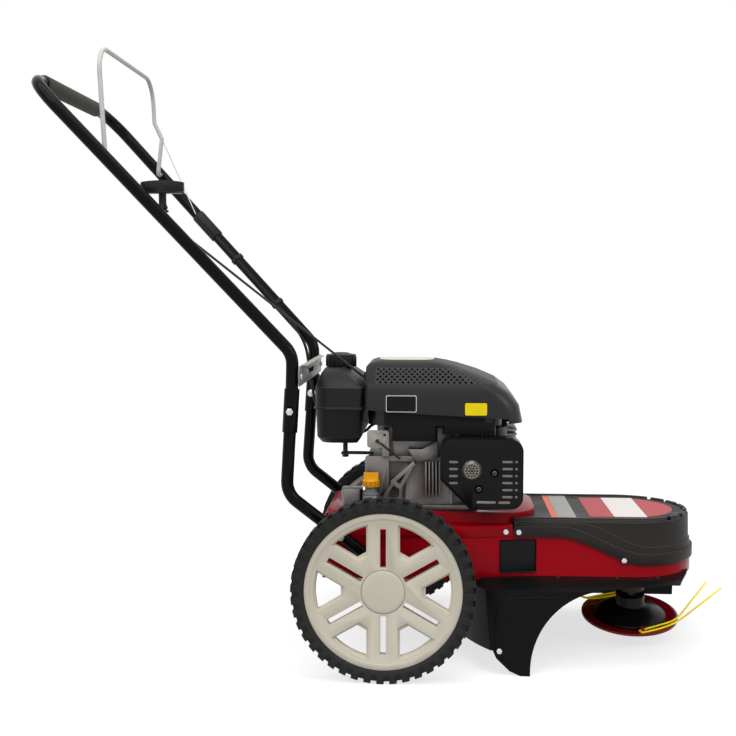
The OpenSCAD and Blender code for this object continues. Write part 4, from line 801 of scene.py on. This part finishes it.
class TRIMMER_OT_cover(bpy.types.Operator):
    """Dresses the belt cover and lays its plain films"""

    bl_idname = "trimmer.cover"
    bl_label = "Belt cover"

    def execute(self, context):
        sizes = context.scene.trimmer_sizes
        body = body_of("belt_cover")
        dress("belt_cover", "cover", sizes.edge_large, limit=20, edge_highlight="cover_edge")
        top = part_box("belt_cover")[1][2] - sizes.cover_rim
        lift = sizes.panel_lift
        lay_panel(top, lift, body)
        for name, finish, length, width, x, layer in COVER_STRIPS:
            plate(name, (length, width, lift), (x, 0, top + layer * lift), finish, body, corner=0.001)
        return {"FINISHED"}


# How far the shield's near wall draws in for each metre of height
WALL_LEAN = 0.1585
# Radius of the bead on that wall, and the x and z of its route, in metres
BEAD_RADIUS = 0.0016
BEAD_ROUTE = (
    (0.352, 0.150), (0.300, 0.150), (0.268, 0.149), (0.243, 0.146), (0.228, 0.138),
    (0.221, 0.124), (0.218, 0.104), (0.216, 0.080), (0.2145, 0.052),
)
# Height below which the shield's fasteners are those of its flap
FLAP_TOP = 0.1


class TRIMMER_OT_shield(bpy.types.Operator):
    """Dresses the debris shield and its fasteners and adds the bead on its near wall"""

    bl_idname = "trimmer.shield"
    bl_label = "Debris shield"

    def execute(self, context):
        dress("debris_shield", "shield", context.scene.trimmer_sizes.edge_large)
        # A moulded bead stiffens the near wall along its top and its rear edge
        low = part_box("debris_shield")[0]
        route = [(x, low[1] + WALL_LEAN * z, z) for x, z in BEAD_ROUTE]
        tube_along("shield_bead", route, BEAD_RADIUS, "shield", body_of("debris_shield"), smooth_bends=True)
        fasteners = dress("shield_fasteners", "knob", edge=0.0004)
        # The flap's fasteners are plated, the rivets along the deck are black
        repaint(fasteners, "zinc", lambda face: face.center.z < FLAP_TOP)
        return {"FINISHED"}


# How far the near bolt heads reach in, and how squarely a face has to look along Y to count as an end
BOLT_HEAD = 0.012
SQUARE_ON = 0.9
# Foam grip, in metres: widths of the two rings in its ends, and the rounding of its rims
GRIP_RINGS = (0.0032, 0.0002)
GRIP_ROUNDING = 0.0022
# How close to the end and to the outside a point has to lie to belong to a rim of the grip
RIM_END = 0.0001
RIM_OUT = 0.0005


def make_grip(sizes):
    """Makes the foam sleeve on the bar, with rounded rims"""
    low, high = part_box("handle_grip")
    centre = middle(low, high)
    length = high[1] - low[1]
    bpy.ops.object.select_all(action="DESELECT")
    bpy.ops.mesh.primitive_cylinder_add(
        vertices=48, radius=sizes.grip_radius, depth=length, location=centre, rotation=UPRIGHT)
    grip = bpy.context.object
    bpy.ops.object.transform_apply(location=True, rotation=True, scale=True)
    bpy.ops.object.mode_set(mode="EDIT")
    bpy.ops.mesh.select_mode(type="FACE")
    clear_picks()
    for face in grip.data.polygons:
        face.select = abs(face.normal.y) > SQUARE_ON
    bpy.ops.object.mode_set(mode="EDIT")
    for width in GRIP_RINGS:
        bpy.ops.mesh.inset(thickness=width)
    clear_picks()
    rim_y = length / 2 - RIM_END
    rim_radius = sizes.grip_radius - RIM_OUT
    for edge in grip.data.edges:
        ends = [grip.data.vertices[v].co for v in edge.vertices]
        out = [math.hypot(p.x - centre[0], p.z - centre[2]) for p in ends]
        edge.select = min(out) > rim_radius and all(abs(p.y) > rim_y for p in ends)
    bpy.ops.object.mode_set(mode="EDIT")
    bpy.ops.mesh.select_mode(type="EDGE")
    bpy.ops.mesh.bevel(offset=GRIP_ROUNDING, segments=4, affect="EDGES")
    bpy.ops.object.mode_set(mode="OBJECT")
    settle(grip, "foam_grip", "foam", body_of("handle_grip"))
    stands_for("handle_grip")


class TRIMMER_OT_handle(bpy.types.Operator):
    """Dresses the tubes, bolts and brace, and makes the foam grip"""

    bl_idname = "trimmer.handle"
    bl_label = "Handle"

    def execute(self, context):
        sizes = context.scene.trimmer_sizes
        for node in ("upper_handle", "lower_handle_right", "lower_handle_left"):
            dress(node, "gloss_black", edge=0.0005)
        bolts = dress("handle_bolts", "zinc", edge=0.0005)
        # The ends on the near side are blackened, all but the faces that look straight out
        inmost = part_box("handle_bolts")[0][1] + BOLT_HEAD
        repaint(bolts, "oxide", lambda face: face.center.y < inmost and face.normal.y > -SQUARE_ON)
        # The brace's grey colour is a painted reflection of the bright surround on its black enamel top
        dress("cross_brace", "brace", sizes.edge_small)
        make_grip(sizes)
        return {"FINISHED"}


# Left upper tube, in metres: its bend, its run from there to the bar, and its radius
TUBE_BEND = (-0.185, 0.193, 0.626)
TUBE_RUN = (-0.499, 0.069, 0.537)
TUBE_RADIUS = 0.0127
# Shares of the tube's run: where the cable starts, two places that it passes, and the bail's pivot
CABLE_TOP = 0.557
CABLE_PASSES = (0.3, 0.04)
BAIL_PIVOT = 0.732
# Gap between cable and tube, the cable's way from the tube to the engine, and the bail's kink from its pivot
CABLE_GAP = 0.0003
CABLE_FREE = (
    (-0.192, 0.164, 0.560), (-0.176, 0.148, 0.480), (-0.150, 0.136, 0.424),
    (-0.066, 0.122, 0.426), (-0.044, 0.1185, 0.452), (-0.030, 0.118, 0.452),
)
KINK_STEP = (0.010, -0.0345, 0.081)
WIRE_SPANS = 24


def on_tube(share):
    """Point on the left upper tube's middle line, from 0 at its bend to 1 at the bar"""
    return Vector([start + run * share for start, run in zip(TUBE_BEND, TUBE_RUN)])


class TRIMMER_OT_bail(bpy.types.Operator):
    """Dresses the bail and the cable's clips, and makes the cable and the wire"""

    bl_idname = "trimmer.bail"
    bl_label = "Bail and cable"

    def execute(self, context):
        sizes = context.scene.trimmer_sizes
        dress("bail", "bail", smooth=60)
        along = (on_tube(1) - on_tube(0)).normalized()
        inward = (Vector((0, -1, 0)) + along * along.y).normalized()
        off = inward * (TUBE_RADIUS + sizes.cable_radius + CABLE_GAP)
        top = on_tube(CABLE_TOP) + off
        route = [top, *(on_tube(share) + off for share in CABLE_PASSES), *CABLE_FREE]
        cable = tube_along("control_cable", route, sizes.cable_radius, "sheath", body_of("bail_cable"),
                           smooth_bends=True)
        stands_for("bail_cable")
        dress("cable_clips", "knob", edge=0.0006)
        kink = Vector([place + step for place, step in zip(on_tube(BAIL_PIVOT), KINK_STEP)])
        points = [kink.lerp(top, i / WIRE_SPANS) for i in range(WIRE_SPANS + 1)]
        wire = tube_along("bail_wire_run", points, sizes.wire_radius, "zinc")
        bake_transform(wire)
        stands_for("bail_wire")
        return {"FINISHED"}


# Straight lengths that the rope's end is made of
ROPE_SPANS = 8


class TRIMMER_OT_starter(bpy.types.Operator):
    """Dresses the starter handle, its guide, reel and rope, and makes the rope's end"""

    bl_idname = "trimmer.starter"
    bl_label = "Starter"

    def execute(self, context):
        sizes = context.scene.trimmer_sizes
        dress("starter_handle", "knob", edge=0.001)
        dress("rope_guide", "knob")
        dress("starter_reel", "knob", edge=0.0005)
        dress("starter_rope", "rope")
        low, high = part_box("rope_tail")
        x, y, _ = middle(low, high)
        points = [(x, y, low[2] + (high[2] - low[2]) * i / ROPE_SPANS) for i in range(ROPE_SPANS + 1)]
        tail = tube_along("rope_end", points, sizes.rope_radius, "rope")
        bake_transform(tail)
        stands_for("rope_tail")
        return {"FINISHED"}


# Domed mesh in the muffler guard, in metres: its middle, radius and depth behind the guard's front
MESH_X = 0.170
MESH_Z = 0.397
MESH_RADIUS = 0.0206
MESH_DEPTH = 0.0062
# Wells of the guard's screws, in metres: their x and z, their radius and their depth behind the front
WELLS = ((0.215, 0.392), (0.184, 0.360))
WELL_RADIUS = 0.0094
WELL_DEPTH = 0.0095
# Steel behind the guard's slots, in metres: name, width, height, x and z of each piece, then the place in Y,
# the thickness and the corner radius of both
LINERS = (("front", 0.037, 0.084, 0.2455, 0.3805), ("rear", 0.021, 0.051, 0.1345, 0.393))
LINER_Y = -0.1872
LINER_THICKNESS = 0.0008
LINER_CORNER = 0.009
# Place in Y in front of which the control bracket's faces belong to its link rod
LINK_ROD_Y = -0.1172


def within(place, x, z, radius):
    """Whether a place lies in a circle, seen from the near side"""
    return math.hypot(place.x - x, place.z - z) < radius


class TRIMMER_OT_engine(bpy.types.Operator):
    """Dresses the engine block, its exhaust and its controls, and adds the steel behind the guard's slots"""

    bl_idname = "trimmer.engine"
    bl_label = "Engine block"

    def execute(self, context):
        for node in ("crankcase", "cylinder_block", "cylinder_head", "carburettor", "flywheel"):
            dress(node, "casting", edge=0.0014, edge_highlight="casting_highlight")
        # The spindle housing is painted dark, as painted shade under the deck
        dress("spindle_housing", "dark_casting", edge=0.0012)
        dress("muffler", "muffler", edge=0.001)
        guard = dress("muffler_guard", "guard_black", edge=0.0012, edge_highlight="enamel_highlight")
        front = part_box("muffler_guard")[0][1]

        def on_mesh(place):
            return place.y < front + MESH_DEPTH and within(place, MESH_X, MESH_Z, MESH_RADIUS)

        def near_well(place):
            return place.y < front + WELL_DEPTH and any(within(place, x, z, WELL_RADIUS) for x, z in WELLS)

        # The domed mesh in front of the outlet is bare, heat-dulled steel, and the screws' wells are painted
        # near black as painted shade
        repaint(guard, "muffler", lambda face: on_mesh(face.center))
        repaint(guard, "well_shade", lambda face: near_well(face.center))
        # Bare steel shows through the slots
        for name, width, height, x, z in LINERS:
            plate("guard_liner_" + name, (width, height, LINER_THICKNESS), (x, LINER_Y, z), "liner",
                  body_of("muffler"), UPRIGHT, LINER_CORNER)
        dress("spark_plug", "ceramic", edge=0.0005)
        dress("engine_bolts", "zinc", edge=0.0004)
        screws = dress("engine_screws", "zinc", edge=0.0009, edge_highlight="zinc")
        # The guard's screws are painted dark, as painted shade in their wells, and kept bright along their
        # edges alone as painted glints
        repaint(screws, "oxide", lambda face: face.material_index == SKIN and near_well(face.center))
        dress("tank_stay", "oxide", edge=0.0004)
        bracket = dress("control_bracket", "bracket", edge=0.0004)
        # The link rod in front of the bracket and its pivot are blackened
        repaint(bracket, "oxide", lambda face: face.center.y < LINK_ROD_Y)
        dress("oil_filler_tube", "tube_grey", edge=0.0006)
        dress("dipstick", "dipstick", edge=0.0008)
        return {"FINISHED"}


# Heights of the shroud's crease and of the top of its skirt, in metres
SHROUD_CREASE = 0.5625
SHROUD_SKIRT = 0.4862
# Baffle under the shroud's front lip, in metres
BAFFLE_SIZE = (0.046, 0.02, 0.0012)
BAFFLE_PLACE = (0.226, -0.06, 0.488)
# Name, finish, width, height, x, z and distance outwards of each film on the shroud, and the films' thickness
SHROUD_FILMS = (
    ("shroud_mark_edge", "film_black", 0.047, 0.028, 0.179, 0.514, -0.0002),
    ("shroud_label", "film_pale", 0.062, 0.034, 0.029, 0.524, 0.0),
    ("shroud_label_face", "film_black", 0.059, 0.031, 0.029, 0.524, 0.0003),
    ("shroud_mark", "film_yellow", 0.044, 0.025, 0.179, 0.514, 0.0),
)
SHROUD_FILM = 0.0006


class TRIMMER_OT_engine_covers(bpy.types.Operator):
    """Dresses the shroud, tank and air filter, adds the baffle and lays the plain films on the shroud"""

    bl_idname = "trimmer.engine_covers"
    bl_label = "Engine covers"

    def execute(self, context):
        large = context.scene.trimmer_sizes.edge_large
        body = body_of("blower_shroud")
        shroud = dress("blower_shroud", "shroud", edge=0.0012, limit=21, edge_highlight="nylon_highlight")
        # The band under the crease is polished, and the skirt under the band is left matt and painted darker,
        # as painted shade
        repaint(shroud, "nylon_gloss",
                lambda face: face.center.z < SHROUD_CREASE and face.material_index == SKIN)
        repaint(shroud, "nylon_shade",
                lambda face: face.center.z < SHROUD_SKIRT and face.material_index != HIGHLIGHTED_EDGE)
        dress("shroud_inset", "inset", edge=0.001)
        # The baffle closes the gap between the shroud's front lip and the cylinder head, and is painted dark
        # as painted shade
        plate("cylinder_baffle", BAFFLE_SIZE, BAFFLE_PLACE, "nylon_shade", body, UPRIGHT, corner=0.002)
        dress("fuel_tank", "engine", large, edge_highlight="nylon_highlight")
        dress("fuel_cap", "knob", edge=0.001, edge_highlight="nylon_highlight")
        dress("air_filter_box", "engine", large)
        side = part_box("blower_shroud")[0][1]
        for name, finish, width, height, x, z, out in SHROUD_FILMS:
            plate(name, (width, height, SHROUD_FILM), (x, side - out, z), finish, body, UPRIGHT)
        return {"FINISHED"}


class TRIMMER_OT_drive(bpy.types.Operator):
    """Dresses the crankshaft, pulleys, belt and spindle"""

    bl_idname = "trimmer.drive"
    bl_label = "Drive"

    def execute(self, context):
        for node in ("drive_pulley", "spindle_pulley", "spindle_bearings"):
            dress(node, "zinc", edge=0.0006)
        # The shafts are blackened steel, and the dark also stands as painted shade where their ends show
        # inside the shroud and under the deck
        for node in ("crankshaft", "spindle_shaft"):
            dress(node, "oxide", edge=0.0006)
        dress("drive_belt", "belt", edge=0.0004, limit=60)
        return {"FINISHED"}


class TRIMMER_OT_head(bpy.types.Operator):
    """Dresses the hub, the glide disc and the lines"""

    bl_idname = "trimmer.head"
    bl_label = "Trimmer head"

    def execute(self, context):
        dress("head_hub", "hub", edge=0.0015, limit=25)
        dress("glide_disc", "disc", edge=0.0012, limit=25)
        dress("trimmer_lines", "line", smooth=50)
        return {"FINISHED"}


STEPS = (
    TRIMMER_OT_stage, TRIMMER_OT_wheels, TRIMMER_OT_deck, TRIMMER_OT_cover, TRIMMER_OT_shield,
    TRIMMER_OT_handle, TRIMMER_OT_bail, TRIMMER_OT_starter, TRIMMER_OT_engine, TRIMMER_OT_engine_covers,
    TRIMMER_OT_drive, TRIMMER_OT_head,
)


class TRIMMER_PT_panel(bpy.types.Panel):
    """Lists the steps that dress the trimmer, and its sizes and colours"""

    bl_idname = "TRIMMER_PT_panel"
    bl_label = "String trimmer"
    bl_space_type = "VIEW_3D"
    bl_region_type = "UI"
    bl_category = "Trimmer"

    def draw(self, context):
        for step in STEPS:
            self.layout.operator(step.bl_idname)
        for group in (context.scene.trimmer_sizes, context.scene.trimmer_colours):
            for name in group.__annotations__:
                self.layout.prop(group, name)


CLASSES = (TrimmerSizes, TrimmerColours, *STEPS, TRIMMER_PT_panel)


def register():
    for cls in CLASSES:
        bpy.utils.register_class(cls)
    bpy.types.Scene.trimmer_sizes = bpy.props.PointerProperty(type=TrimmerSizes)
    bpy.types.Scene.trimmer_colours = bpy.props.PointerProperty(type=TrimmerColours)


def unregister():
    del bpy.types.Scene.trimmer_colours
    del bpy.types.Scene.trimmer_sizes
    for cls in reversed(CLASSES):
        bpy.utils.unregister_class(cls)


def main():
    register()
    for step in STEPS:
        group, name = step.bl_idname.split(".")
        getattr(getattr(bpy.ops, group), name)()


if __name__ == "__main__":
    main()
